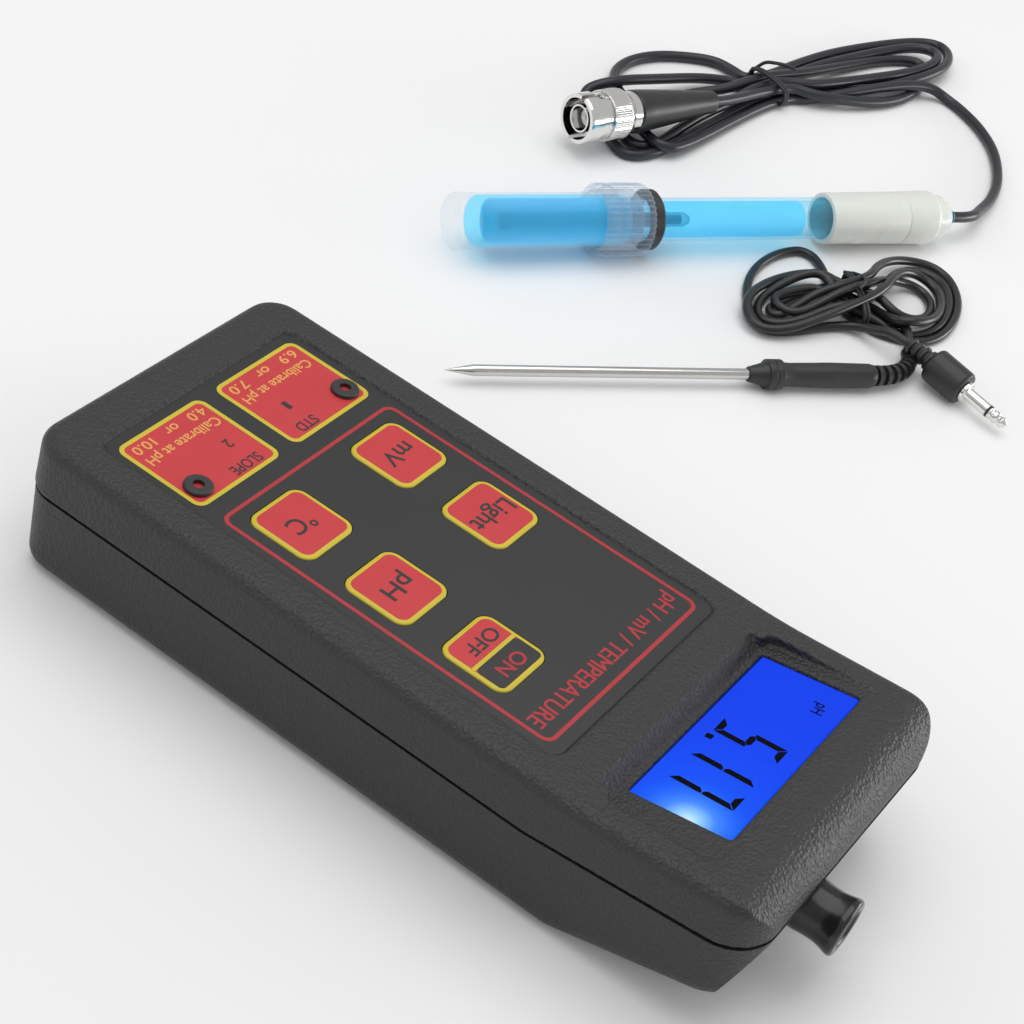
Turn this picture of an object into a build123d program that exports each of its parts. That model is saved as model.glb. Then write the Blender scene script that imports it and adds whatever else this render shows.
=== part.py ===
from build123d import *
import math
import os

# Portable pH meter with its pH electrode and its temperature probe. Millimetres.
# Origin: middle of the meter's flat underside. +Z up through the keypad, +Y toward the display end.

# ---- meter case -------------------------------------------------------------
HALF_WIDTH = 40.3          # at the parting line
END_Y = 89.85              # both ends at the parting line
RIM_Z = 34.7               # flat rim round the label
BEND_Y = 50.0              # where the display head starts to rise
HEAD_TOP_ANGLE = 5.2       # degrees, top of the head
BEND_RADIUS = 150.0        # soft hollow where the head starts to rise
HEAD_BASE_ANGLE = 17.4     # degrees, underside of the head
PARTING_Z = 21.4
PARTING_BEND_Y = 39.0
PARTING_ANGLE = 6.6
END_UNDERCUT = 18.0        # degrees, lower half of the display end wall
HEAD_END_RADIUS = 9.0      # rounding from the head's top down to its end wall
SIDE_DRAFT = 2.0
CORNER_R_USER = 8.0
CORNER_R_HEAD = 10.0
TOP_EDGE_R = 3.0
BASE_EDGE_R = 5.0
WALL = 2.6
GROOVE = 0.5               # shadow line between the two shells
LIP = 1.1                  # tongue of the lower shell

# ---- label and keys -----------------------------------------------------------
LABEL_Y = (-77.75, 37.55)
LABEL_HALF_X = 31.0
LABEL_Z = 34.0             # top face of the label film
FILM = 0.3
KEY_SIZE = 16.5
KEY_R = 3.0
KEY_X = 16.9
KEY_ROWS = (-35.8, -11.45, 12.9)
KEY_GAP = 0.2

# ---- display -------------------------------------------------------------------
DISPLAY_X = -2.1           # the display sits a little left, to leave room for its lamp
DISPLAY_Y = 62.15
DISPLAY_Z = 34.35
DISPLAY_TILT = 11.1
WINDOW_HALF_X = 26.9
WINDOW_LENGTH = 22.3
WINDOW_GAP = 0.15
POCKET_HALF_X = 33.0       # flat floor round the window, sunk into the head
POCKET_NEAR_BORDER = 1.4   # from the window to the foot of the pocket's near slope
POCKET_LENGTH = 40.0
POCKET_SLOPE = 42.0        # degrees, near slope of the pocket
TRAY_THICKNESS = 2.6
GLASS_HALF_X = 29.0
GLASS_HALF_Y = 13.2
GLASS_THICKNESS = 1.8
GLASS_DEPTH = 0.65         # the raised middle of the glass fills the opening up to here

# ---- electronics ----------------------------------------------------------------
PCB_TOP = 25.5
PCB_T = 1.6
PCB_Y = (-74.0, 43.0)
PCB_HALF_X = 29.0
TRIM_X = 24.85
TRIM_Y = -56.75

# ---- connectors on the display end ----------------------------------------------
PANEL_Y = 84.6
BNC_X = 8.6
BNC_Z = 17.5
BNC_BORE_R = 4.8
JACK_X = -15.0
JACK_Z = 17.5
JACK_BORE_R = 1.8

# ---- battery ----------------------------------------------------------------------
BATTERY = (26.5, 46.5, 17.5)
BATTERY_Y0 = -78.0
DOOR_HALF_X = 16.5
DOOR_Y1 = -22.0

# ---- electrode (its own axis runs from the storage bottle to the white cap) --------
NUT_POINT = (-171.5, -69.4, 10.0)
ELECTRODE_DIR = (-0.8379, 0.5454, -0.0217)
TUBE_R = 5.95
# ---- probe ---------------------------------------------------------------------------
PROBE_TIP = (-85.8, -64.6, 4.05)
PROBE_DIR = (-0.7774, 0.6290, 0.0)
NEEDLE_R = 1.45
NEEDLE_LENGTH = 83.2
TANG_R = 1.1               # the needle's narrower end, held inside the handle
TANG_LENGTH = 6.0

# ---- cords -----------------------------------------------------------------------------
ELECTRODE_CORD_R = 1.6
ELECTRODE_CORD_POINTS = [
    (-265.4, -8.3, 7.57),
    (-271.7, -4.2, 7.0),
    (-282.2, -5.6, 4.2),
    (-295.8, -6.6, 2.2),
    (-310.0, -10.6, 1.6),
    (-323.6, -18.4, 1.6),
    (-332.2, -27.4, 1.6),
    (-337.4, -37.0, 1.6),
    (-339.4, -44.0, 1.6),
]

parts = {}


def rounded_box(half_x, y0, y1, z0, z1, radius):
    """Upright block with rounded vertical corners."""
    sketch = Pos(0, (y0 + y1) / 2, z0) * RectangleRounded(2 * half_x, y1 - y0, radius)
    return extrude(sketch, amount=z1 - z0)


def block(x0, x1, y0, y1, z0, z1):
    centre = Pos((x0 + x1) / 2, (y0 + y1) / 2, (z0 + z1) / 2)
    return centre * Box(x1 - x0, y1 - y0, z1 - z0)


def post(x, y, z0, z1, radius):
    return Pos(x, y, (z0 + z1) / 2) * Cylinder(radius, z1 - z0)


def turned(profile):
    """Solid of revolution about local X from (x, r) corners, starting and ending on the axis."""
    outline = Polyline(*[(x, r, 0) for x, r in profile], close=True)
    return revolve(make_face(outline), axis=Axis.X, revolution_arc=360)


def tube_profile(x0, x1, r0, r1):
    """Plain ring section between radii r0 and r1."""
    return Pos((x0 + x1) / 2, 0, 0) * Rot(0, 90, 0) * (Cylinder(r1, x1 - x0) - Cylinder(r0, x1 - x0 + 2))


def along(point, direction):
    """Location whose local X runs along the direction, with local Z as nearly up as it can be."""
    x_dir = Vector(*direction).normalized()
    y_dir = Vector(0, 0, 1).cross(x_dir).normalized()
    z_dir = x_dir.cross(y_dir)
    return Plane(origin=point, x_dir=x_dir, z_dir=z_dir).location


# ---- case blank ---------------------------------------------------------------------------

def head_top(y):
    return RIM_Z + (y - BEND_Y) * math.tan(math.radians(HEAD_TOP_ANGLE))


def parting(y):
    return PARTING_Z + (y - PARTING_BEND_Y) * math.tan(math.radians(PARTING_ANGLE))


def upper_side_face(inset):
    """Side view that trims the upper half: flat rim, then the rising head."""
    slope = math.tan(math.radians(HEAD_TOP_ANGLE))
    rise_y = BEND_Y - inset * slope / 2
    end_y = END_Y + 20
    corners = [
        (-end_y, 0),
        (end_y, 0),
        (end_y, head_top(end_y) - inset),
        (rise_y, RIM_Z - inset),
        (-end_y, RIM_Z - inset),
    ]
    face = make_face(Polyline(*corners, close=True))
    bend = face.vertices().filter_by(lambda v: abs(v.X - rise_y) < 0.1 and v.Y > 1)
    return Plane.YZ * fillet(bend, BEND_RADIUS)


def lower_side_face(inset):
    """Side view that trims the lower half: flat base, rising head base and undercut end wall."""
    lean = math.tan(math.radians(END_UNDERCUT))
    slope = math.tan(math.radians(HEAD_BASE_ANGLE))
    end_z = parting(END_Y)
    low_z = slope * (END_Y - lean * end_z - BEND_Y) / (1 - slope * lean)
    low_y = END_Y - lean * (end_z - low_z)
    top_y = END_Y + lean * (60 - end_z)
    corners = [
        (-END_Y - 20, 0),
        (BEND_Y, 0),
        (low_y, low_z),
        (top_y, 60),
        (-END_Y - 20, 60),
    ]
    face = make_face(Polyline(*corners, close=True))
    if inset > 0:
        face = offset(face, amount=-inset, kind=Kind.INTERSECTION)
    return Plane.YZ * face


def head_rounding(inset):
    """Region below the large rounding that carries the head's top face down to its end wall."""
    lean = math.tan(math.radians(SIDE_DRAFT / 2))
    end_y = END_Y - inset + 0.02
    base_z = PARTING_Z - 8
    top_y = end_y - lean * (head_top(END_Y) - base_z)
    corners = [
        (-END_Y - 20, -20),
        (end_y + lean * (base_z + 20), -20),
        (top_y, head_top(top_y) - inset + 0.02),
        (BEND_Y, RIM_Z - inset + 0.02),
        (BEND_Y, RIM_Z + 20),
        (-END_Y - 20, RIM_Z + 20),
    ]
    face = make_face(Polyline(*corners, close=True))
    corner = face.vertices().sort_by(lambda v: v.X)[-2:].sort_by(lambda v: v.Y)[-1]
    return extrude(Plane.YZ * fillet([corner], HEAD_END_RADIUS - inset), amount=HALF_WIDTH + 5, both=True)


def plan_prism(inset, z0, z1, taper):
    """Rounded rectangle seen from above, extruded with draft; wider at z0 than at z1."""
    height = abs(z1 - z0)
    sketch = Rectangle(2 * (HALF_WIDTH - inset), 2 * (END_Y - inset))
    user_end = sketch.vertices().filter_by(lambda v: v.Y < 0)
    sketch = fillet(user_end, CORNER_R_USER - inset)
    head_end = sketch.vertices().filter_by(lambda v: v.Y > 0 and abs(v.X) > HALF_WIDTH - inset - 0.01)
    sketch = fillet(head_end, CORNER_R_HEAD - inset)
    direction = (0, 0, 1) if z1 > z0 else (0, 0, -1)
    return extrude(Pos(0, 0, z0) * sketch, amount=height, dir=direction, taper=taper)


def upper_half(inset, edge_radius=0.0):
    """Upper half of the case blank, before the parting cut."""
    side = extrude(upper_side_face(inset), amount=HALF_WIDTH + 5, both=True)
    half = side & plan_prism(inset, PARTING_Z - 8, RIM_Z + 12, SIDE_DRAFT / 2)
    if edge_radius > 0:
        half = fillet(top_edges(half), edge_radius)
    return half & head_rounding(inset)


def lower_half(inset, edge_radius=0.0):
    """Lower half of the case blank, before the parting cut."""
    side = extrude(lower_side_face(inset), amount=HALF_WIDTH + 5, both=True)
    half = side & plan_prism(inset, parting(END_Y) + 6, -1, SIDE_DRAFT)
    if edge_radius > 0:
        half = fillet(base_edges(half), edge_radius)
    return half


def parting_region(shift, above):
    """Everything above (or below) the parting surface moved up by the shift."""
    far = 200
    z_far = 80 if above else -30
    corners = [
        (-far, PARTING_Z + shift),
        (PARTING_BEND_Y, PARTING_Z + shift),
        (far, parting(far) + shift),
        (far, z_far),
        (-far, z_far),
    ]
    face = Plane.YZ * make_face(Polyline(*corners, close=True))
    return extrude(face, amount=120, both=True)


def top_edges(solid):
    """Edges round the top face, without the bend line across it."""
    chosen = []
    for edge in solid.edges():
        centre = edge.center()
        across_the_bend = abs(centre.X) < 1 and abs(centre.Y - BEND_Y) < 12
        if centre.Z > RIM_Z - 0.2 and not across_the_bend:
            chosen.append(edge)
    return chosen


def base_edges(solid):
    """Edges round the underside, where its flat and sloping faces meet the walls."""
    chosen = []
    for edge in solid.edges():
        centre = edge.center()
        if centre.Z > 13.5:
            continue
        if edge.bounding_box().size.Z > 14:
            continue
        if abs(centre.X) < 1 and abs(centre.Y - BEND_Y) < 1:
            continue
        chosen.append(edge)
    return chosen


def display_frame():
    """Local frame of the display: x across, y up the slope, z out of the window."""
    return Location((DISPLAY_X, DISPLAY_Y, DISPLAY_Z), (DISPLAY_TILT, 0, 0))


def display_tray():
    """Plate that carries the sunk display window."""
    width = 2 * POCKET_HALF_X + 4
    length = WINDOW_LENGTH + 13.4
    return display_frame() * Pos(-DISPLAY_X, 1.5, 0) * Box(width, length, 2 * TRAY_THICKNESS)


def display_pocket():
    """Pocket above the display: deep on the keypad side and fading out toward the end."""
    foot_y = -WINDOW_LENGTH / 2 - POCKET_NEAR_BORDER
    height = 12.0
    run = height * math.tan(math.radians(POCKET_SLOPE))
    outline = Pos(0, foot_y + POCKET_LENGTH / 2) * Rectangle(2 * POCKET_HALF_X, POCKET_LENGTH)
    floor_corners = outline.vertices().sort_by(Axis.Y)[:2]
    pocket = extrude(fillet(floor_corners, 3), amount=height)
    slope = Plane.YZ * make_face(Polyline((foot_y, 0), (foot_y - run, height), (foot_y + 1, height), close=True))
    pocket += extrude(slope, amount=POCKET_HALF_X - 3, both=True)
    return display_frame() * Pos(-DISPLAY_X, 0, 0) * pocket


CASE_SCREWS = [(-34.0, -80.0), (34.0, -80.0), (-34.0, 44.0), (34.0, 44.0)]
PCB_SCREWS = [(-25.5, -70.0), (25.5, -70.0), (-25.5, 38.0), (25.5, 38.0)]


def keys():
    """Name and centre of each key."""
    return {
        "key_millivolt": (-KEY_X, KEY_ROWS[0]),
        "key_temperature": (KEY_X, KEY_ROWS[0]),
        "key_light": (-KEY_X, KEY_ROWS[1]),
        "key_ph": (KEY_X, KEY_ROWS[1]),
        "key_on_off": (KEY_X, KEY_ROWS[2]),
    }


def make_top_shell():
    blank = upper_half(0, TOP_EDGE_R) & parting_region(GROOVE / 2, True)
    cavity = upper_half(WALL)
    shell = blank - cavity
    rabbet = upper_half(LIP) & parting_region(LIP + 0.4, False)
    shell -= rabbet
    shell += display_tray() & upper_half(1.5)
    shell -= display_pocket()
    window = (2 * (WINDOW_HALF_X + WINDOW_GAP), WINDOW_LENGTH + 2 * WINDOW_GAP)
    shell -= display_frame() * Box(*window, 12)
    # label pocket and key openings
    shell -= rounded_box(LABEL_HALF_X + 0.3, LABEL_Y[0] - 0.3, LABEL_Y[1] + 0.3, LABEL_Z - FILM, 40, 3)
    for x, y in keys().values():
        hole = KEY_SIZE / 2 + KEY_GAP
        opening = extrude(Pos(x, y, 30) * RectangleRounded(2 * hole, 2 * hole, KEY_R + KEY_GAP), amount=6)
        shell -= opening
    for x in (-TRIM_X, TRIM_X):
        shell -= Pos(x, TRIM_Y, 32) * Cylinder(2.65, 8)
    # posts for the case screws and the circuit board screws
    for x, y in CASE_SCREWS:
        shell += post(x, y, PARTING_Z + 3.2, RIM_Z - 2.0, 3.4)
        shell -= post(x, y, PARTING_Z + 2.2, RIM_Z - 5.0, 1.25)
    for x, y in PCB_SCREWS:
        shell += post(x, y, PCB_TOP, LABEL_Z - 1.5, 2.8)
        shell -= post(x, y, PCB_TOP - 1, LABEL_Z - 3.5, 1.0)
    return shell


def door_cutter(gap):
    """Region of the lower shell that leaves as the battery door."""
    low = block(-DOOR_HALF_X - gap, DOOR_HALF_X + gap, -120, DOOR_Y1 + gap, -5, 1.9)
    end = block(-DOOR_HALF_X - gap, DOOR_HALF_X + gap, -120, -END_Y + WALL - 0.1, -5, 12 + gap)
    return low + end


def make_bottom_shell():
    blank = lower_half(0, BASE_EDGE_R)
    cavity = lower_half(WALL)
    lower = parting_region(-GROOVE / 2, False)
    shell = (blank & lower) - cavity
    tongue_region = parting_region(LIP + 0.2, False) & parting_region(-2.0, True)
    tongue = (lower_half(LIP + 0.15) - cavity) & tongue_region
    shell += tongue
    # battery box: two side walls, an inner end wall and a roof
    x_in = BATTERY[0] / 2 + 0.4
    y_in = BATTERY_Y0 + BATTERY[1] + 7.0
    roof_z = 2.2 + BATTERY[2] + 0.4
    box = block(-x_in - 1.4, x_in + 1.4, -END_Y + WALL + 0.2, y_in + 1.4, 1.5, roof_z + 1.2)
    box -= block(-x_in, x_in, -END_Y, y_in, -1, roof_z)
    shell += box & lower_half(0.5)
    shell -= block(-x_in, x_in, -END_Y + WALL + 0.1, y_in, -1, 3)
    shell -= block(-4.5, 4.5, y_in - 2.4, y_in + 0.5, roof_z - 1, roof_z + 2)
    shell -= door_cutter(0.25)
    # door rails
    for side in (-1, 1):
        rail = block(DOOR_HALF_X + 0.2, DOOR_HALF_X + 1.3, -END_Y - 1, DOOR_Y1 - 6, 0.75, 1.45)
        shell -= rail if side > 0 else mirror(rail, about=Plane.YZ)
    for x, y in CASE_SCREWS:
        top = parting(y) + 2.0 if y > PARTING_BEND_Y else PARTING_Z + 2.0
        shell += post(x, y, 1.0, top, 3.4)
        shell -= post(x, y, -1, top - 4.0, 2.9)
        shell -= post(x, y, -1, top + 1, 1.55)
    # connector pocket and its two holes
    shell += block(-24, 20, PANEL_Y - 2.4, PANEL_Y, 11.0, 24.0) & lower_half(0)
    shell -= block(-24, 20, PANEL_Y, PANEL_Y + 8, 10.0, 24.8)
    shell -= Pos(BNC_X, PANEL_Y, BNC_Z) * Rot(90, 0, 0) * Cylinder(BNC_BORE_R, 12)
    shell -= Pos(BNC_X, PANEL_Y - 7.4, BNC_Z) * Rot(90, 0, 0) * Cylinder(5.6, 10)
    shell -= Pos(JACK_X, PANEL_Y, JACK_Z) * Rot(90, 0, 0) * Cylinder(3.05, 12)
    return shell


def make_battery_door():
    blank = lower_half(0, BASE_EDGE_R)
    end_inner = block(-60, 60, -END_Y + WALL - 0.2, 60, 1.8, 40)
    door = (blank & door_cutter(0)) - end_inner
    for side in (-1, 1):
        rail = block(DOOR_HALF_X - 0.5, DOOR_HALF_X + 1.0, -END_Y + 6, DOOR_Y1 - 6.3, 0.85, 1.35)
        door += rail if side > 0 else mirror(rail, about=Plane.YZ)
    # thumb grip: shallow ridges across the door
    for step in range(5):
        y = -60 + 2.2 * step
        door -= Pos(0, y, 0) * Rot(0, 90, 0) * Cylinder(0.5, 16)
    return door


# ---- keypad --------------------------------------------------------------------------------

def make_overlay():
    film = rounded_box(LABEL_HALF_X, LABEL_Y[0], LABEL_Y[1], LABEL_Z - FILM, LABEL_Z, 2.8)
    for x, y in keys().values():
        hole = KEY_SIZE + 2 * KEY_GAP
        film -= extrude(Pos(x, y, 30) * RectangleRounded(hole, hole, KEY_R + KEY_GAP), amount=6)
    for x in (-TRIM_X, TRIM_X):
        film -= Pos(x, TRIM_Y, LABEL_Z) * Cylinder(2.65, 4)
    return film


def make_key(x, y):
    top = extrude(Pos(x, y, 31.0) * RectangleRounded(KEY_SIZE, KEY_SIZE, KEY_R), amount=LABEL_Z - 31.0)
    flange = extrude(Pos(x, y, 30.9) * RectangleRounded(KEY_SIZE + 1.9, KEY_SIZE + 1.9, KEY_R + 0.9), amount=1.1)
    stem = post(x, y, 28.5, 31.2, 1.7)
    return top + flange + stem


def make_switch_bases():
    bases = []
    for x, y in keys().values():
        body = block(x - 3, x + 3, y - 3, y + 3, PCB_TOP, PCB_TOP + 3.5)
        body -= post(x, y, PCB_TOP + 2.2, PCB_TOP + 5, 1.8)
        bases.append(body)
    return Compound(children=bases)


# ---- display ----------------------------------------------------------------------------------

def display_plate(half_x, half_y, z_top, thickness):
    return display_frame() * Pos(0, 0, z_top - thickness / 2) * Box(2 * half_x, 2 * half_y, thickness)


def make_display_parts():
    parts["lcd_window"] = display_plate(WINDOW_HALF_X, WINDOW_LENGTH / 2, -0.1, 0.5)
    under_tray = -TRAY_THICKNESS - 0.05
    glass = display_plate(GLASS_HALF_X, GLASS_HALF_Y, under_tray, GLASS_THICKNESS)
    raised = -GLASS_DEPTH - under_tray
    glass += display_plate(WINDOW_HALF_X - 0.1, WINDOW_LENGTH / 2 - 0.1, -GLASS_DEPTH, raised)
    parts["lcd_glass"] = glass
    parts["lcd_backlight"] = display_plate(GLASS_HALF_X, GLASS_HALF_Y, -4.5, 2.6)
    parts["display_board"] = display_plate(29.5, 14.5, -7.15, 1.4)
    led = display_frame() * Pos(29.9, 0, -5.8) * Box(1.6, 5.0, 1.6)
    parts["backlight_led"] = led


# ---- electronics ----------------------------------------------------------------------------------

def make_main_board():
    board = block(-PCB_HALF_X, PCB_HALF_X, PCB_Y[0], PCB_Y[1], PCB_TOP - PCB_T, PCB_TOP)
    for x, y in PCB_SCREWS:
        board -= post(x, y, PCB_TOP - 3, PCB_TOP + 1, 1.15)
    return board


def make_electronics():
    parts["main_board"] = make_main_board()
    parts["switch_bases"] = make_switch_bases()
    trimmers = []
    for x in (-TRIM_X, TRIM_X):
        body = block(x - 3.3, x + 3.3, TRIM_Y - 3.5, TRIM_Y + 3.5, PCB_TOP, PCB_TOP + 4.9)
        body -= post(x, TRIM_Y, PCB_TOP + 3.6, PCB_TOP + 6, 1.65)
        trimmers.append(body)
    parts["trimmer_bodies"] = Compound(children=trimmers)
    for name, x in (("trimmer_screw_first", -TRIM_X), ("trimmer_screw_second", TRIM_X)):
        screw = post(x, TRIM_Y, PCB_TOP + 3.7, PCB_TOP + 5.2, 1.6)
        screw -= block(x - 1.3, x + 1.3, TRIM_Y - 0.25, TRIM_Y + 0.25, PCB_TOP + 4.6, PCB_TOP + 6)
        parts[name] = screw
    chips = PCB_TOP - PCB_T
    parts["display_driver"] = block(-7, 7, 16, 34, chips - 3.3, chips)
    parts["input_amplifier"] = block(-24, -17, 20, 30, chips - 3.0, chips)
    cans = [post(x, y, chips - 2.6, chips, 2.0) for x, y in ((18, 20), (18, 27), (24, 20))]
    parts["capacitors"] = Compound(children=cans)


def make_grommets():
    rings = []
    for x in (-TRIM_X, TRIM_X):
        ring = post(x, TRIM_Y, LABEL_Z, LABEL_Z + 1.0, 3.17)
        ring += post(x, TRIM_Y, 31.4, LABEL_Z + 0.5, 2.6)
        ring = fillet(ring.edges().filter_by(GeomType.CIRCLE).sort_by(Axis.Z)[-1:], 0.5)
        ring -= post(x, TRIM_Y, 30, 37, 1.25)
        rings.append(ring)
    return Compound(children=rings)


# ---- connectors -------------------------------------------------------------------------------------

def y_axis_at(x, z):
    """Local X becomes the meter's +Y at a connector on the end panel."""
    return Pos(x, PANEL_Y, z) * Rot(0, 0, 90)


def make_connectors():
    seat = y_axis_at(BNC_X, BNC_Z)
    socket = turned([(-6, 0), (-6, 5.4), (-2.5, 5.4), (-2.5, 4.7), (2.6, 4.7), (2.6, 4.8),
                     (11.2, 4.8), (11.2, 0)])
    socket -= turned([(1.0, 0), (1.0, 4.05), (12, 4.05), (12, 0)])
    socket -= turned([(-7, 0), (-7, 2.0), (2, 2.0), (2, 0)])
    lug = Pos(6.4, 0, 0) * Cylinder(1.0, 10.5)
    lug -= Pos(6.4, 0, 0) * Cylinder(1.2, 8.6)
    parts["bnc_socket"] = seat * (socket + lug)
    insulator = turned([(-8, 0), (-8, 1.95), (1.0, 1.95), (1.0, 3.2), (5.6, 3.2), (5.6, 0)])
    insulator -= turned([(-9, 0), (-9, 0.7), (9, 0.7), (9, 0)])
    parts["bnc_insulator"] = seat * insulator
    contact = turned([(-12, 0), (-12, 0.65), (7.6, 0.65), (7.6, 0)])
    parts["bnc_contact"] = seat * contact
    nut = Rot(0, 90, 0) * extrude(RegularPolygon(7.2, 6), amount=2.2)
    nut = nut - turned([(-1, 0), (-1, 4.75), (4, 4.75), (4, 0)])
    parts["bnc_nut"] = seat * Pos(0.05, 0, 0) * nut
    cap = turned([(2.5, 0), (2.5, 6.0), (4.0, 6.0), (6.5, 5.75), (9.0, 5.75), (10.8, 6.1), (11.8, 6.4),
                  (12.7, 6.4), (13.2, 6.0), (13.2, 0)])
    cap -= turned([(2.0, 0), (2.0, 5.4), (11.6, 5.4), (11.6, 0)])
    parts["bnc_dust_cap"] = seat * cap
    jack_seat = y_axis_at(JACK_X, JACK_Z)
    jack = turned([(-14, 0), (-14, 4.5), (-2.5, 4.5), (-2.5, 3.0), (1.9, 3.0), (1.9, 0)])
    jack -= turned([(-12, 0), (-12, JACK_BORE_R), (3, JACK_BORE_R), (3, 0)])
    parts["temperature_jack"] = jack_seat * jack
    ring = tube_profile(0.05, 1.6, 3.05, 4.0)
    parts["temperature_jack_nut"] = jack_seat * ring


# ---- battery --------------------------------------------------------------------------------------------

def make_battery():
    width, length, height = BATTERY
    y1 = BATTERY_Y0 + length
    body = block(-width / 2, width / 2, BATTERY_Y0, y1, 2.2, 2.2 + height)
    body = fillet(body.edges().filter_by(Axis.Y), 2.2)
    studs = []
    z_mid = 2.2 + height / 2
    for x, r in ((-6.35, 2.8), (6.35, 3.8)):
        stud = Pos(x, y1 + 1.25, z_mid) * Rot(90, 0, 0) * Cylinder(r, 2.5)
        studs.append(stud)
    parts["battery"] = body
    parts["battery_terminals"] = Compound(children=studs)
    snap = block(-12.5, 12.5, y1 + 2.55, y1 + 5.0, z_mid - 6, z_mid + 6)
    parts["battery_snap"] = fillet(snap.edges().filter_by(Axis.Y), 3)
    leads = []
    for x in (-3.0, 3.0):
        points = [(x, y1 + 5.0, z_mid + 2), (x, y1 + 6.2, z_mid + 2), (x, y1 + 6.2, PCB_TOP - PCB_T)]
        path = FilletPolyline(*points, radius=1.1)
        leads.append(sweep(Plane(points[0], z_dir=(0, 1, 0)) * Circle(0.6), path=path))
    parts["battery_leads"] = Compound(children=leads)


def screw(x, y, z_head, head_r, head_h, shank_r, length):
    """Pan-head screw that points up, with a cross slot in its head."""
    body = post(x, y, z_head, z_head + head_h, head_r) + post(x, y, z_head, z_head + length, shank_r)
    body -= block(x - head_r * 0.6, x + head_r * 0.6, y - 0.3, y + 0.3, z_head - 1, z_head + head_h * 0.6)
    body -= block(x - 0.3, x + 0.3, y - head_r * 0.6, y + head_r * 0.6, z_head - 1, z_head + head_h * 0.6)
    return body


def make_screws():
    case = []
    for x, y in CASE_SCREWS:
        top = parting(y) + 2.0 if y > PARTING_BEND_Y else PARTING_Z + 2.0
        case.append(screw(x, y, top - 6.0, 2.7, 2.0, 1.24, 11.0))
    parts["case_screws"] = Compound(children=case)
    board = [screw(x, y, PCB_TOP - PCB_T - 1.2, 2.2, 1.2, 0.99, 7.0) for x, y in PCB_SCREWS]
    parts["board_screws"] = Compound(children=board)


# ---- electrode -----------------------------------------------------------------------------------------------

def make_electrode():
    place = along(NUT_POINT, ELECTRODE_DIR)
    tube = turned([(-38, 0), (-38, TUBE_R), (70, TUBE_R), (70, 0)])
    tube -= turned([(-30, 0), (-30, TUBE_R - 1.0), (69, TUBE_R - 1.0), (69, 0)])
    tube -= turned([(-39, 0), (-39, TUBE_R - 1.0), (-31.5, TUBE_R - 1.0), (-31.5, 0)])
    slots = Pos(-36, 0, 0) * (Box(6, 20, 4) + Box(6, 4, 20))
    tube -= slots
    tube -= turned([(-33, 0), (-33, 2.1), (-28, 2.1), (-28, 0)])
    parts["electrode_tube"] = place * tube
    stem = turned([(-31.5, 0), (-31.5, 2.0), (21, 2.0), (22.6, 1.2), (23, 0)])
    stem -= turned([(-32, 0), (-32, 1.3), (20, 1.3), (20.8, 0)])
    parts["electrode_stem"] = place * stem
    bulb = Pos(-33.4, 0, 0) * Sphere(2.6) & (Pos(-41.6, 0, 0) * Box(20, 20, 20))
    parts["electrode_bulb"] = place * bulb
    wire = Pos(-5, 0, 0) * Rot(0, 90, 0) * Cylinder(0.35, 50)
    parts["electrode_wire"] = place * wire
    cap = turned([(66.6, 0), (66.6, 7.2), (92.3, 7.45), (92.3, 7.3), (92.6, 7.3), (92.6, 7.5), (102.6, 7.75),
                  (103.5, 7.0), (103.5, 6.5), (106.7, 6.4), (106.7, 4.95), (108.9, 4.9), (108.9, 0)])
    cap -= turned([(66, 0), (66, TUBE_R + 0.02), (70.1, TUBE_R + 0.02), (70.1, 0)])
    parts["electrode_cap"] = place * cap
    gland = turned([(108.9, 0), (108.9, 2.3), (111.4, 2.2), (112.1, 1.9), (112.1, 0)])
    parts["electrode_gland"] = place * gland


def make_storage_bottle():
    place = along(NUT_POINT, ELECTRODE_DIR)
    bottle = turned([(-49.1, 0), (-49.1, 7.0), (-48.4, 7.7), (-46.0, 7.7), (-45.6, 7.5), (-7.0, 7.5),
                     (-7.0, 8.2), (2.0, 8.2), (2.0, 0)])
    bottle -= turned([(-43, 0), (-43, 6.4), (3, 6.4), (3, 0)])
    parts["storage_bottle"] = place * bottle
    nut = turned([(-7.1, 0), (-7.1, 9.5), (-6.6, 9.98), (7.0, 9.98), (7.5, 9.5), (7.5, 0)])
    nut -= turned([(-8, 0), (-8, 8.3), (4.2, 8.3), (4.2, 6.3), (8, 6.3), (8, 0)])
    for step in range(36):
        notch = Rot(step * 10, 0, 0) * Pos(2.2, 0, 9.98) * Box(9.0, 0.6, 0.6)
        nut -= notch
    parts["bottle_nut"] = place * nut
    seal = turned([(7.55, 0), (7.55, 7.6), (8.2, 8.25), (10.6, 8.25), (11.3, 7.6), (11.3, 0)])
    seal -= turned([(7, 0), (7, 6.05), (12, 6.05), (12, 0)])
    parts["bottle_seal"] = place * seal


# ---- cords -----------------------------------------------------------------------------------------------------

def cord_radii(points):
    """Largest tangent arc that both runs at each corner allow."""
    radii = []
    for before, here, after in zip(points, points[1:], points[2:]):
        run_in = Vector(*here) - Vector(*before)
        run_out = Vector(*after) - Vector(*here)
        half_turn = math.radians(run_in.get_angle(run_out) / 2)
        radii.append(0.45 * min(run_in.length, run_out.length) / math.tan(half_turn))
    return radii


def make_cord(points, radius):
    path = FilletPolyline(*points, radius=cord_radii(points))
    start = Vector(*points[1]) - Vector(*points[0])
    return sweep(Plane(points[0], z_dir=start) * Circle(radius), path=path)


def slab(points, z0, z1):
    """Soft closed outline, extruded: the outer shape of a tied hank."""
    outline = Spline(*points, periodic=True)
    face = make_face(outline)
    return extrude(Pos(0, 0, z0) * face, amount=z1 - z0)


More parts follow.
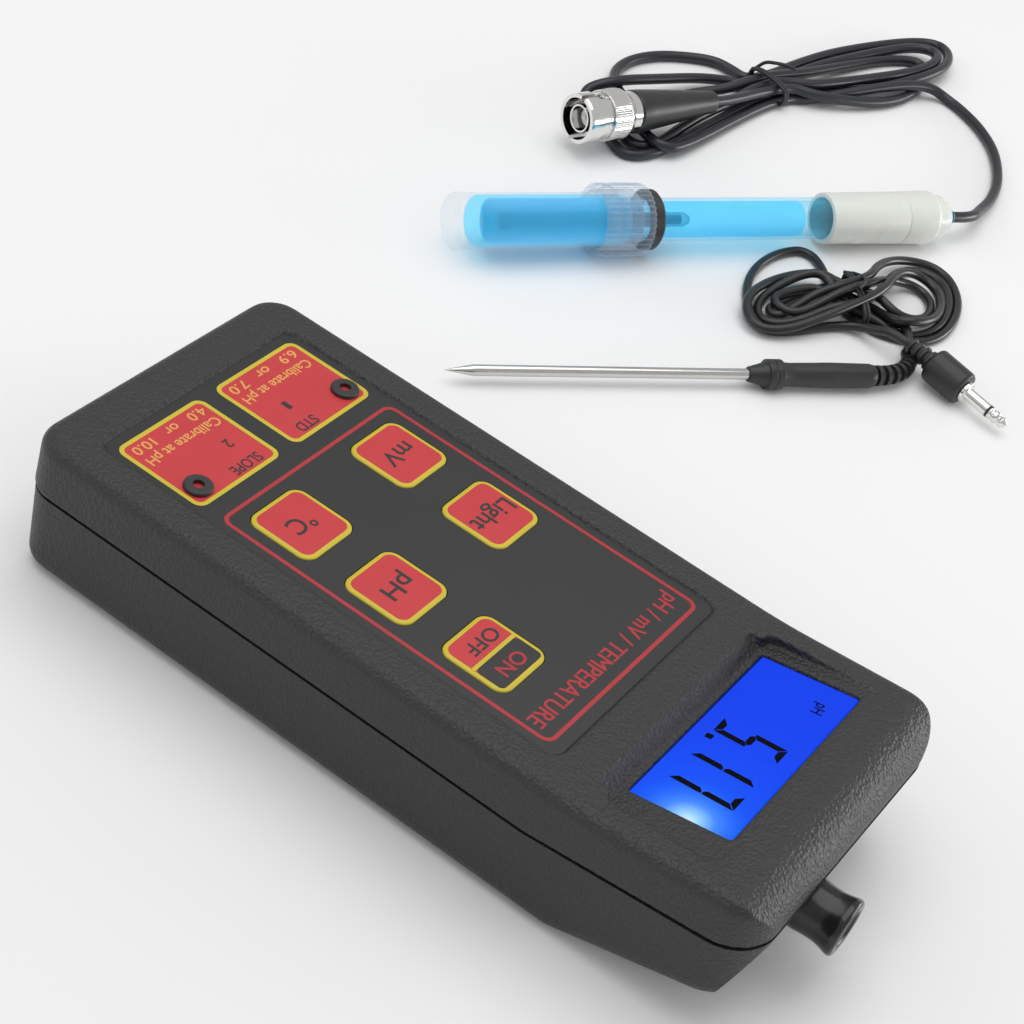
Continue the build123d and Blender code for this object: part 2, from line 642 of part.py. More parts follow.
def make_electrode_cord():
    parts["electrode_cord"] = make_cord(ELECTRODE_CORD_POINTS, ELECTRODE_CORD_R)
    left_loops = [(-281.0, -73.0), (-262.0, -73.5), (-240.1, -78.5), (-217.0, -83.5), (-211.0, -92.0),
                  (-222.0, -112.0), (-240.0, -119.0), (-262.0, -120.5), (-276.0, -112.0), (-284.0, -90.0)]
    right_loops = [(-279.0, -86.0), (-295.0, -90.5), (-318.0, -85.0), (-342.0, -75.0), (-364.0, -67.0),
                   (-368.5, -57.0), (-358.0, -49.0), (-338.5, -43.5), (-322.0, -49.5), (-305.0, -58.0),
                   (-288.0, -70.0)]
    bundle = [(-251.0, -88.0), (-256.0, -80.0), (-270.0, -75.0), (-288.0, -71.5), (-292.0, -80.0),
              (-284.0, -88.0), (-268.0, -93.0), (-256.0, -94.0)]
    hank = slab(left_loops, 0, 3.2) + slab(right_loops, 0, 6.4) + slab(bundle, 0, 8.2)
    parts["electrode_cord_hank"] = hank


def make_cord_tie(centre, direction, size):
    """Twist tie: a flat band round the bundle and its twisted tail."""
    place = along(centre, direction)
    length, width, height = size
    band = Box(length, width + 2.0, height + 2.0)
    band = fillet(band.edges().filter_by(Axis.X), min(height, width) / 3)
    hole = Box(length + 2, width, height)
    hole = fillet(hole.edges().filter_by(Axis.X), min(height, width) / 3.6)
    return place * (band - hole)


PLUG_POINT = (-203.1, -103.6, 11.4)
PLUG_DIR = (-0.9363, 0.3492, -0.04)


def make_bnc_plug():
    """Bayonet plug on the electrode cord: local X runs from the mouth back to the cord."""
    place = along(PLUG_POINT, PLUG_DIR)
    sleeve = turned([(0, 0), (0, 7.1), (0.8, 7.25), (4.6, 7.25), (4.6, 6.6), (8.6, 6.6), (8.6, 7.25),
                     (15.4, 7.25), (15.4, 0)])
    sleeve -= turned([(-1, 0), (-1, 6.0), (10.5, 6.0), (10.5, 5.4), (16, 5.4), (16, 0)])
    for side in (0, 180):
        sleeve -= Rot(side, 0, 0) * Pos(6.6, 0, 6.5) * Cylinder(1.15, 4)
        sleeve -= Rot(side, 0, 0) * Pos(2.6, 0, 6.5) * Box(7.0, 1.4, 4)
    parts["bnc_plug_sleeve"] = place * sleeve
    core = turned([(1.0, 0), (1.0, 4.0), (12.0, 4.0), (12.0, 5.3), (17.5, 5.3), (17.5, 6.0), (20.0, 6.0), (20.0, 0)])
    core -= turned([(0, 0), (0, 3.5), (9.0, 3.5), (9.0, 0)])
    parts["bnc_plug_core"] = place * core
    insulator = turned([(4.0, 0), (4.0, 2.6), (9.0, 2.6), (9.0, 0)])
    insulator -= turned([(3, 0), (3, 0.7), (9.5, 0.7), (9.5, 0)])
    pin = turned([(2.0, 0), (2.6, 0.65), (8.95, 0.65), (8.95, 0)])
    parts["bnc_plug_contact"] = place * Compound(children=[insulator, pin])
    boot = turned([(20.05, 0), (20.05, 6.3), (24.0, 6.1), (48.0, 3.6), (52.0, 3.3), (52.6, 2.9), (52.6, 0)])
    parts["bnc_plug_boot"] = place * boot


# ---- probe ------------------------------------------------------------------------------------------------------

def make_probe():
    place = along(PROBE_TIP, PROBE_DIR)
    x0 = NEEDLE_LENGTH
    tang_end = x0 + TANG_LENGTH
    needle = turned([(0, 0), (1.6, 0.35), (7.5, NEEDLE_R), (x0, NEEDLE_R), (x0, TANG_R), (tang_end, TANG_R),
                     (tang_end, 0)])
    parts["probe_needle"] = place * needle
    handle = turned([(x0, 0), (x0, 1.95), (x0 + 1.0, 2.2), (x0 + 5.0, 3.3), (x0 + 5.0, 4.0), (x0 + 9.4, 4.0),
                     (x0 + 9.4, 3.3), (x0 + 12.0, 3.1), (x0 + 24.0, 3.35), (x0 + 35.5, 3.2), (x0 + 37.2, 2.8),
                     (x0 + 37.2, 0)])
    handle -= turned([(x0 - 1, 0), (x0 - 1, TANG_R), (tang_end + 0.02, TANG_R), (tang_end + 0.02, 0)])
    parts["probe_handle"] = place * handle


RELIEF_POINTS = [
    (-179.4, 11.1, 4.05),
    (-183.6, 14.0, 4.0),
    (-188.8, 15.6, 3.8),
    (-195.0, 14.8, 3.1),
    (-200.4, 12.1, 2.2),
]


def make_strain_relief():
    """Slotted ribbed sleeve that curves from the handle up to the hank: a spine with rings on it."""
    radii = cord_radii(RELIEF_POINTS)
    path = FilletPolyline(*RELIEF_POINTS, radius=radii)
    start = Vector(*RELIEF_POINTS[1]) - Vector(*RELIEF_POINTS[0])
    relief = sweep(Plane(RELIEF_POINTS[0], z_dir=start) * Circle(1.7), path=path)
    ribs = 9
    for index in range(ribs):
        t = (index + 0.5) / ribs
        radius = 2.8 - 0.7 * t
        plane = Plane(path @ t, z_dir=path % t)
        relief += extrude(plane * Circle(radius), amount=0.65, both=True)
    return relief


JACK_PLUG_POINT = (-197.7, 11.3, 6.7)
JACK_PLUG_DIR = (0.18, 0.98, -0.08)


def make_jack_plug():
    """Mono 3.5 mm plug: local X runs from the cord to the tip."""
    place = along(JACK_PLUG_POINT, JACK_PLUG_DIR)
    boot = turned([(0, 0), (0, 1.9), (9.0, 3.0), (9.0, 4.6), (10.0, 4.9), (20.0, 4.9), (20.6, 4.4), (20.6, 0)])
    for step in range(3):
        x = 1.6 + 2.4 * step
        boot -= tube_profile(x, x + 0.9, 1.4, 4)
    parts["probe_plug_boot"] = place * boot
    shaft = turned([(20.65, 0), (20.65, 3.0), (21.9, 3.0), (21.9, 1.75), (30.4, 1.75), (30.4, 1.45),
                    (31.2, 1.45), (31.2, 1.75), (32.3, 1.75), (33.0, 1.1), (34.2, 1.6), (35.6, 0.5), (35.6, 0)])
    shaft -= tube_profile(29.2, 29.9, 1.45, 2.5)
    parts["probe_plug_shaft"] = place * shaft
    parts["probe_plug_ring"] = place * tube_profile(29.2, 29.9, 1.45, 1.75)


def make_probe_hank():
    outline = [(-180.0, -30.0), (-191.0, -35.3), (-204.8, -36.0), (-213.6, -29.0), (-217.2, -18.0),
               (-229.0, -12.5), (-238.0, -8.0), (-241.5, 0.0), (-236.6, 9.0), (-226.0, 15.0),
               (-214.8, 15.0), (-205.5, 10.6), (-199.0, 3.0), (-195.5, -4.5), (-181.0, -11.6), (-174.0, -20.0)]
    return slab(outline, 0, 7.0)


def write_parts():
    os.makedirs("parts", exist_ok=True)
    for name, shape in parts.items():
        shape.label = name
        export_step(shape, f"parts/{name}.step")


def main():
    parts["top_shell"] = make_top_shell()
    parts["bottom_shell"] = make_bottom_shell()
    parts["battery_door"] = make_battery_door()
    parts["keypad_label"] = make_overlay()
    for name, (x, y) in keys().items():
        parts[name] = make_key(x, y)
    make_display_parts()
    make_electronics()
    parts["trimmer_grommets"] = make_grommets()
    make_connectors()
    make_battery()
    make_screws()
    make_electrode()
    make_storage_bottle()
    make_electrode_cord()
    parts["electrode_cord_tie"] = make_cord_tie((-285.0, -82.0, 4.6), (-0.96, 0.28, 0), (4.0, 15.0, 7.0))
    make_bnc_plug()
    make_probe()
    parts["probe_strain_relief"] = make_strain_relief()
    make_jack_plug()
    parts["probe_cord_hank"] = make_probe_hank()
    parts["probe_cord_tie"] = make_cord_tie((-206.5, -9.5, 4.3), (-0.72, 0.69, 0), (3.0, 20.0, 6.6))
    write_parts()


main()
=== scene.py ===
import bpy
import bmesh
import math
from mathutils import Matrix, Vector


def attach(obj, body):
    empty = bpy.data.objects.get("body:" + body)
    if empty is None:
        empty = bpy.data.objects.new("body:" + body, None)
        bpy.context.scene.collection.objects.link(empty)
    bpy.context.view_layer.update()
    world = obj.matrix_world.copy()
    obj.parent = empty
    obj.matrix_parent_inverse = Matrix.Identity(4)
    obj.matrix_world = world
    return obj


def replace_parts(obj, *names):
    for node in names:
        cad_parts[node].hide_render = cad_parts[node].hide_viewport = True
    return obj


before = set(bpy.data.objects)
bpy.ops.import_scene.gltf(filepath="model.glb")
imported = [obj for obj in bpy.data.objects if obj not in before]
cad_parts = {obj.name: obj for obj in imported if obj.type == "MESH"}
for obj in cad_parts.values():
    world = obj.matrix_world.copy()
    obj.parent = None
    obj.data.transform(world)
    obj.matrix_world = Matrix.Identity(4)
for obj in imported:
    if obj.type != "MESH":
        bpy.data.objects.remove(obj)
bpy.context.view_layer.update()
MM = 0.001
scene = bpy.context.scene

# ---- camera, floor and light ---------------------------------------------------------------------

CAMERA_PLACE = (339.929, 141.517, 352.276)
CAMERA_RIGHT = (-0.548017, 0.800012, 0.244251)
CAMERA_UP = (-0.432009, -0.520742, 0.736340)
CAMERA_BACK = (0.716272, 0.298008, 0.630988)
CAMERA_LENS = 84.158
SENSOR_WIDTH = 36.0
WORLD_STRENGTH = 0.54


def make_camera():
    data = bpy.data.cameras.new("camera")
    data.lens = CAMERA_LENS
    data.sensor_width = SENSOR_WIDTH
    data.clip_start = 0.01
    data.clip_end = 20.0
    camera = bpy.data.objects.new("camera", data)
    axes = Matrix((CAMERA_RIGHT, CAMERA_UP, CAMERA_BACK)).transposed()
    camera.matrix_world = Matrix.Translation(Vector(CAMERA_PLACE) * MM) @ axes.to_4x4()
    scene.collection.objects.link(camera)
    scene.camera = camera


def make_light(name, place, target, size, power):
    data = bpy.data.lights.new(name, "AREA")
    data.shape = "RECTANGLE"
    data.size, data.size_y = size
    data.energy = power
    light = bpy.data.objects.new(name, data)
    light.location = Vector(place)
    aim = Vector(target) - Vector(place)
    light.rotation_euler = aim.to_track_quat("-Z", "Y").to_euler()
    scene.collection.objects.link(light)


def make_world():
    world = bpy.data.worlds.new("studio")
    world.use_nodes = True
    background = world.node_tree.nodes["Background"]
    background.inputs["Color"].default_value = (1.0, 1.0, 1.0, 1.0)
    background.inputs["Strength"].default_value = WORLD_STRENGTH
    scene.world = world


# ---- mesh helpers --------------------------------------------------------------------------------

def add_object(name, data, body=None, materials=()):
    piece = bpy.data.objects.new(name, data)
    scene.collection.objects.link(piece)
    for material in materials:
        data.materials.append(material)
    if body:
        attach(piece, body)
    return piece


def mesh_piece(name, verts, faces, body, materials, smooth=40.0):
    """A mesh from points in millimetres; edges sharper than the angle stay crisp."""
    mesh = bpy.data.meshes.new(name)
    mesh.from_pydata([Vector(v) * MM for v in verts], [], faces)
    bm = bmesh.new()
    bm.from_mesh(mesh)
    bmesh.ops.remove_doubles(bm, verts=bm.verts, dist=1e-7)
    bmesh.ops.recalc_face_normals(bm, faces=bm.faces)
    for face in bm.faces:
        face.smooth = True
    for edge in bm.edges:
        if len(edge.link_faces) == 2 and edge.calc_face_angle(0) > math.radians(smooth):
            edge.smooth = False
    bm.to_mesh(mesh)
    bm.free()
    return add_object(name, mesh, body, materials)


def place_along(point, direction):
    """Local X runs along the direction and local Z stays as nearly up as it can."""
    x = Vector(direction).normalized()
    y = Vector((0, 0, 1)).cross(x).normalized()
    z = x.cross(y)
    turn = Matrix((x, y, z)).transposed()
    return Matrix.Translation(Vector(point)) @ turn.to_4x4()


def soften(profile, radius, closed=False, steps=4):
    """Rounds the corners of a profile of (x, r) points."""
    out = []
    count = len(profile)
    for index, corner in enumerate(profile):
        here = Vector(corner)
        ends = not closed and index in (0, count - 1)
        before = Vector(profile[index - 1])
        after = Vector(profile[(index + 1) % count])
        to_before = before - here
        to_after = after - here
        if ends or to_before.length < 1e-6 or to_after.length < 1e-6:
            out.append(tuple(here))
            continue
        reach = min(radius, 0.45 * to_before.length, 0.45 * to_after.length)
        start = here + to_before.normalized() * reach
        end = here + to_after.normalized() * reach
        for step in range(steps + 1):
            t = step / steps
            point = start * (1 - t) ** 2 + here * 2 * t * (1 - t) + end * t ** 2
            out.append(tuple(point))
    return out


def lathe(name, profile, place, body, material, radius=0.25, closed=False, segments=96, ripple=None):
    """Solid of revolution about local X; ripple(x, r, angle) may change the radius."""
    points = soften(profile, radius, closed)
    verts, faces = [], []
    for x, r in points:
        for k in range(segments):
            angle = 2 * math.pi * k / segments
            rr = ripple(x, r, angle) if ripple else r
            verts.append(place @ Vector((x, rr * math.cos(angle), rr * math.sin(angle))))
    rows = len(points)
    for row in range(rows if closed else rows - 1):
        a, b = row * segments, ((row + 1) % rows) * segments
        for k in range(segments):
            j = (k + 1) % segments
            faces.append((a + k, a + j, b + j, b + k))
    return mesh_piece(name, verts, faces, body, [material])


def extruded(name, outline, z0, z1, place, body, material, bevel=0.0):
    """Prism from a closed outline in local XY, with an optional small chamfer round its top."""
    n = len(outline)
    rings = [(z0, 0.0), (z1 - bevel, 0.0)] + ([(z1, bevel)] if bevel else [])
    centre = Vector((sum(p[0] for p in outline) / n, sum(p[1] for p in outline) / n))
    verts, faces = [], []
    for z, inset in rings:
        for p in outline:
            d = Vector(p) - centre
            q = centre + d * (1 - inset / max(d.length, 1e-6))
            verts.append(place @ Vector((q.x, q.y, z)))
    for row in range(len(rings) - 1):
        for k in range(n):
            j = (k + 1) % n
            faces.append((row * n + k, row * n + j, row * n + n + j, row * n + n + k))
    faces.append(tuple(range(n))[::-1])
    faces.append(tuple(range(len(rings) * n - n, len(rings) * n)))
    return mesh_piece(name, verts, faces, body, [material])


def rounded_outline(x0, x1, y0, y1, radius, steps=8):
    points = []
    corners = [(x1 - radius, y1 - radius, 0), (x0 + radius, y1 - radius, 90),
               (x0 + radius, y0 + radius, 180), (x1 - radius, y0 + radius, 270)]
    for cx, cy, start in corners:
        for step in range(steps + 1):
            a = math.radians(start + 90 * step / steps)
            points.append((cx + radius * math.cos(a), cy + radius * math.sin(a)))
    return points


def ring_strip(name, outer, inner, z, thickness, place, body, material):
    """Flat printed line between two outlines with the same number of points."""
    n = len(outer)
    verts, faces = [], []
    for level in (z, z + thickness):
        for outline in (outer, inner):
            for p in outline:
                verts.append(place @ Vector((p[0], p[1], level)))
    for k in range(n):
        j = (k + 1) % n
        faces.append((2 * n + k, 2 * n + j, 3 * n + j, 3 * n + k))
        faces.append((k, n + k, n + j, j))
        faces.append((k, j, 2 * n + j, 2 * n + k))
        faces.append((n + k, 3 * n + k, 3 * n + j, n + j))
    return mesh_piece(name, verts, faces, body, [material])


# ---- materials -----------------------------------------------------------------------------------

def value_range(nodes, links, source, low, high):
    ramp = nodes.new("ShaderNodeMapRange")
    ramp.inputs["To Min"].default_value = low
    ramp.inputs["To Max"].default_value = high
    links.new(source, ramp.inputs["Value"])
    return ramp.outputs["Result"]


def material(name, colour, roughness, colour_shift=0.15, rough_shift=0.08, noise_mm=6.0, bump_mm=0.4,
             bump=0.02, cells=False, second_bump=None, **sockets):
    """Procedural surface: colour and roughness vary with noise, and a fine bump gives its grain.

    colour_shift scales the colour variation, noise_mm and bump_mm are feature sizes, bump is the
    grain's depth in millimetres, and sockets are constants of the Principled shader.
    """
    mat = bpy.data.materials.new(name)
    mat.use_nodes = True
    nodes, links = mat.node_tree.nodes, mat.node_tree.links
    shader = nodes["Principled BSDF"]
    coords = nodes.new("ShaderNodeTexCoord").outputs["Object"]
    wide = nodes.new("ShaderNodeTexNoise")
    wide.inputs["Scale"].default_value = 1 / (noise_mm * MM)
    wide.inputs["Detail"].default_value = 4.0
    links.new(coords, wide.inputs["Vector"])
    mix = nodes.new("ShaderNodeMix")
    mix.data_type = "RGBA"
    darker = [c * (1 - colour_shift) for c in colour]
    lighter = [min(1.0, c * (1 + colour_shift)) for c in colour]
    mix.inputs["A"].default_value = (*darker, 1.0)
    mix.inputs["B"].default_value = (*lighter, 1.0)
    links.new(wide.outputs["Fac"], mix.inputs["Factor"])
    links.new(mix.outputs["Result"], shader.inputs["Base Color"])
    rough = value_range(nodes, links, wide.outputs["Fac"], roughness - rough_shift, roughness + rough_shift)
    links.new(rough, shader.inputs["Roughness"])
    if bump > 0:
        fine = nodes.new("ShaderNodeTexVoronoi" if cells else "ShaderNodeTexNoise")
        fine.inputs["Scale"].default_value = 1 / (bump_mm * MM)
        links.new(coords, fine.inputs["Vector"])
        bumper = nodes.new("ShaderNodeBump")
        bumper.inputs["Distance"].default_value = bump * MM
        bumper.inputs["Strength"].default_value = 1.0
        links.new(fine.outputs["Distance" if cells else "Fac"], bumper.inputs["Height"])
        if second_bump:
            size, depth = second_bump
            coarse = nodes.new("ShaderNodeTexNoise")
            coarse.inputs["Scale"].default_value = 1 / (size * MM)
            links.new(coords, coarse.inputs["Vector"])
            under = nodes.new("ShaderNodeBump")
            under.inputs["Distance"].default_value = depth * MM
            links.new(coarse.outputs["Fac"], under.inputs["Height"])
            links.new(under.outputs["Normal"], bumper.inputs["Normal"])
        links.new(bumper.outputs["Normal"], shader.inputs["Normal"])
    for socket, value in sockets.items():
        shader.inputs[socket.replace("_", " ").title().replace("Ior", "IOR")].default_value = value
    return mat


CASE = material("case_grain", (0.021, 0.021, 0.0215), 0.45, colour_shift=0.12, noise_mm=9.0, bump_mm=0.85,
                bump=0.22, cells=True, second_bump=(0.5, 0.22), specular_ior_level=0.5)
LABEL = material("label_print", (0.017, 0.017, 0.018), 0.36, colour_shift=0.05, noise_mm=14.0, bump_mm=0.5,
                 bump=0.0025)
RED = material("red_ink", (0.56, 0.030, 0.038), 0.42, colour_shift=0.05, noise_mm=8.0, bump_mm=0.4,
               bump=0.003)
LINE_RED = material("line_red_ink", (0.42, 0.018, 0.026), 0.42, colour_shift=0.06, noise_mm=8.0, bump=0.002)
YELLOW = material("yellow_ink", (0.60, 0.48, 0.022), 0.42, colour_shift=0.06, noise_mm=8.0, bump=0.002)
PALE_INK = material("pale_ink", (0.75, 0.36, 0.09), 0.45, colour_shift=0.06, noise_mm=4.0, bump=0.002)
DARK_INK = material("dark_ink", (0.020, 0.018, 0.020), 0.42, colour_shift=0.1, noise_mm=4.0, bump=0.002)
RUBBER = material("soft_rubber", (0.022, 0.022, 0.024), 0.42, colour_shift=0.2, noise_mm=2.0, bump_mm=0.25,
                  bump=0.006)
CAP_RUBBER = material("dust_cap_vinyl", (0.012, 0.012, 0.013), 0.20, colour_shift=0.15, rough_shift=0.06,
                      noise_mm=4.0, bump_mm=1.6, bump=0.015)
CORD = material("cord_jacket", (0.017, 0.018, 0.024), 0.34, colour_shift=0.15, noise_mm=5.0, bump_mm=0.8,
                bump=0.012)
PROBE_CORD = material("probe_cord_jacket", (0.016, 0.016, 0.017), 0.30, colour_shift=0.15, noise_mm=5.0,
                      bump_mm=0.8, bump=0.012)
HANDLE = material("handle_plastic", (0.018, 0.018, 0.018), 0.40, colour_shift=0.15, noise_mm=5.0, bump_mm=0.5,
                  bump=0.010)
CHROME = material("chrome", (0.80, 0.79, 0.77), 0.12, colour_shift=0.05, rough_shift=0.05, noise_mm=2.0,
                  bump_mm=0.5, bump=0.002, metallic=1.0)
STEEL = material("polished_steel", (0.62, 0.61, 0.59), 0.16, colour_shift=0.06, rough_shift=0.05,
                 noise_mm=3.0, bump_mm=0.3, bump=0.0015, metallic=1.0)
BRASS = material("brass", (0.55, 0.36, 0.13), 0.3, noise_mm=2.0, bump=0.004, metallic=1.0)
WHITE_CAP = material("white_cap_plastic", (0.72, 0.745, 0.70), 0.28, colour_shift=0.015, noise_mm=12.0,
                     bump_mm=1.2, bump=0.006, subsurface_weight=0.08)
INSULATOR = material("white_insulator", (0.78, 0.77, 0.72), 0.4, colour_shift=0.03, bump=0.003)
BOARD = material("circuit_board", (0.015, 0.12, 0.05), 0.38, noise_mm=5.0, bump_mm=0.8, bump=0.01)
CHIP = material("black_component", (0.02, 0.02, 0.02), 0.5, noise_mm=2.0, bump_mm=0.3, bump=0.008)
BATTERY = material("battery_wrap", (0.05, 0.06, 0.08), 0.35, noise_mm=9.0, bump_mm=2.0, bump=0.01)
LEAD = material("lead_red", (0.5, 0.02, 0.02), 0.45, noise_mm=2.0, bump_mm=0.6, bump=0.008)
LED = material("led_body", (0.85, 0.85, 0.80), 0.3, noise_mm=1.0, bump=0.002)
TIE = material("twist_tie", (0.018, 0.018, 0.020), 0.5, noise_mm=1.5, bump_mm=0.3, bump=0.02)


def clear_material(name, tint, body, roughness, gloss, share, edge, noise_mm=8.0, bump_mm=2.5, bump=0.02,
                   painted_glow=0.0):
    """Clear moulded plastic or liquid: most light passes straight through, tinted.

    The rest meets a glossy body colour; its share grows by edge where the surface turns away. A
    little painted glow, emission in the body colour, stands for the light that scatters inside the
    tinted liquid, gel or tube plastic.
    """
    # the emission set below is a painted glow in the body colour, not a lamp
    mat = material(name, body, roughness, colour_shift=0.03, rough_shift=roughness * 0.5, noise_mm=noise_mm,
                   bump_mm=bump_mm, bump=bump, specular_ior_level=gloss, emission_color=(*body, 1.0),
                   emission_strength=painted_glow)
    nodes, links = mat.node_tree.nodes, mat.node_tree.links
    shader = nodes["Principled BSDF"]
    through = nodes.new("ShaderNodeBsdfTransparent")
    through.inputs["Color"].default_value = (*tint, 1.0)
    facing = nodes.new("ShaderNodeLayerWeight")
    facing.inputs["Blend"].default_value = 0.35
    amount = value_range(nodes, links, facing.outputs["Facing"], share, share + edge)
    mix = nodes.new("ShaderNodeMixShader")
    links.new(amount, mix.inputs["Fac"])
    links.new(through.outputs["BSDF"], mix.inputs[1])
    links.new(shader.outputs["BSDF"], mix.inputs[2])
    links.new(mix.outputs["Shader"], nodes["Material Output"].inputs["Surface"])
    return mat


CLEAR = clear_material("clear_plastic", (0.985, 0.995, 1.0), (0.70, 0.80, 0.88), 0.06, 0.7, 0.01, 0.30)
NUT_CLEAR = clear_material("clear_nut_plastic", (0.96, 0.98, 1.0), (0.62, 0.70, 0.78), 0.08, 0.9, 0.04, 0.50)
WINDOW = clear_material("display_window", (0.99, 0.99, 1.0), (0.01, 0.01, 0.02), 0.12, 0.2, 0.0, 0.02,
                        bump=0.001)
# painted glow: the storage liquid, tube plastic and cyan gel emit a little light in their body colour,
# standing for light scattered inside them
LIQUID = clear_material("storage_liquid", (0.60, 0.95, 1.0), (0.04, 0.60, 0.98), 0.10, 0.3, 0.13, 0.12,
                        painted_glow=0.80)
TUBE = clear_material("tube_plastic", (0.90, 0.98, 1.0), (0.20, 0.70, 1.0), 0.06, 0.6, 0.05, 0.30, bump=0.01,
                      painted_glow=0.15)
GEL = clear_material("cyan_gel", (0.62, 0.94, 1.0), (0.04, 0.56, 0.98), 0.25, 0.3, 0.10, 0.14, noise_mm=14.0,
                     painted_glow=0.75)
GLASS = clear_material("thin_glass", (0.80, 0.92, 0.97), (0.05, 0.35, 0.55), 0.04, 0.7, 0.10, 0.6, bump=0.004)


DISPLAY_CENTRE = (-2.1, 62.15, 34.35)
DISPLAY_TILT = math.radians(11.1)
DISPLAY = Matrix.Translation(DISPLAY_CENTRE) @ Matrix.Rotation(DISPLAY_TILT, 4, "X")
GLASS_TOP = -0.65
GLOW_POINT = (27.0, 1.8, GLASS_TOP)
GLOW_REACH_MM = 38.0


def display_material():
    """Blue backlit display, whiter round the lamp at its right edge."""
    mat = material("display_blue", (0.004, 0.01, 0.08), 0.6, bump=0.0, specular_ior_level=0.1)
    nodes, links = mat.node_tree.nodes, mat.node_tree.links
    shader = nodes["Principled BSDF"]
    coords = nodes.new("ShaderNodeTexCoord").outputs["Object"]
    place = nodes.new("ShaderNodeVectorMath")
    place.operation = "DISTANCE"
    place.inputs[1].default_value = DISPLAY @ Vector(GLOW_POINT) * MM
    links.new(coords, place.inputs[0])
    ramp = nodes.new("ShaderNodeValToRGB")
    ramp.color_ramp.interpolation = "B_SPLINE"
    stops = [(0.0, (0.75, 0.95, 1.0)), (0.055, (0.35, 0.75, 1.0)), (0.14, (0.01, 0.20, 1.0)),
             (0.32, (0.001, 0.062, 0.92)), (1.0, (0.001, 0.046, 0.82))]
    ramp.color_ramp.elements[0].position, ramp.color_ramp.elements[1].position = 0.0, 1.0
    for _ in stops[2:]:
        ramp.color_ramp.elements.new(0.5)
    for element, (position, colour) in zip(ramp.color_ramp.elements, stops):
        element.position = position
        element.color = (*colour, 1.0)
    scale = nodes.new("ShaderNodeMapRange")
    scale.inputs["From Max"].default_value = GLOW_REACH_MM * MM
    links.new(place.outputs["Value"], scale.inputs["Value"])
    links.new(scale.outputs["Result"], ramp.inputs["Fac"])
    links.new(ramp.outputs["Color"], shader.inputs["Emission Color"])
    shader.inputs["Emission Strength"].default_value = 0.95
    return mat


BLUE = display_material()
ROW = Matrix.Identity(4)


def paint(material_of):
    """Gives CAD nodes their materials."""
    for node, finish in material_of.items():
        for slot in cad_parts[node].material_slots:
            slot.material = finish


paint({
    "top_shell": CASE, "bottom_shell": CASE, "battery_door": CASE, "keypad_label": LABEL,
    "lcd_window": WINDOW, "lcd_glass": BLUE, "lcd_backlight": LED, "backlight_led": LED,
    "display_board": BOARD, "main_board": BOARD, "switch_bases": CHIP, "display_driver": CHIP,
    "input_amplifier": CHIP, "capacitors": STEEL, "trimmer_bodies": CHIP, "trimmer_screw_first": BRASS,
    "trimmer_screw_second": BRASS, "trimmer_grommets": RUBBER, "bnc_socket": CHROME,
    "bnc_insulator": INSULATOR, "bnc_contact": BRASS, "bnc_nut": CHROME, "temperature_jack": HANDLE,
    "temperature_jack_nut": CHROME, "battery": BATTERY, "battery_terminals": STEEL, "battery_snap": RUBBER,
    "battery_leads": LEAD, "case_screws": STEEL, "board_screws": STEEL, "electrode_stem": GLASS,
    "electrode_bulb": GLASS, "electrode_wire": CHROME, "bottle_seal": RUBBER, "bnc_plug_core": CHROME,
    "bnc_plug_contact": INSULATOR, "bnc_plug_sleeve": CHROME, "probe_strain_relief": HANDLE,
    "probe_plug_ring": HANDLE,
})


SKIN_VOXEL_MM = 0.3
SHELL_EDGE_MM = 0.3


def mould_edges():
    """Moulded look of the shells: soft corners and rims on the top, small radii on the base."""
    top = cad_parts["top_shell"]
    skin = top.modifiers.new("even_skin", "REMESH")
    skin.mode = "VOXEL"
    skin.voxel_size = SKIN_VOXEL_MM * MM
    skin.use_smooth_shade = True
    soft = top.modifiers.new("soft_corners", "SMOOTH")
    soft.factor = 0.5
    soft.iterations = 22
    for node in ("bottom_shell", "battery_door"):
        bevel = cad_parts[node].modifiers.new("moulded_edge", "BEVEL")
        bevel.width = SHELL_EDGE_MM * MM
        bevel.segments = 2
        bevel.limit_method = "ANGLE"
        bevel.angle_limit = math.radians(32)


mould_edges()


# ---- cords ---------------------------------------------------------------------------------------

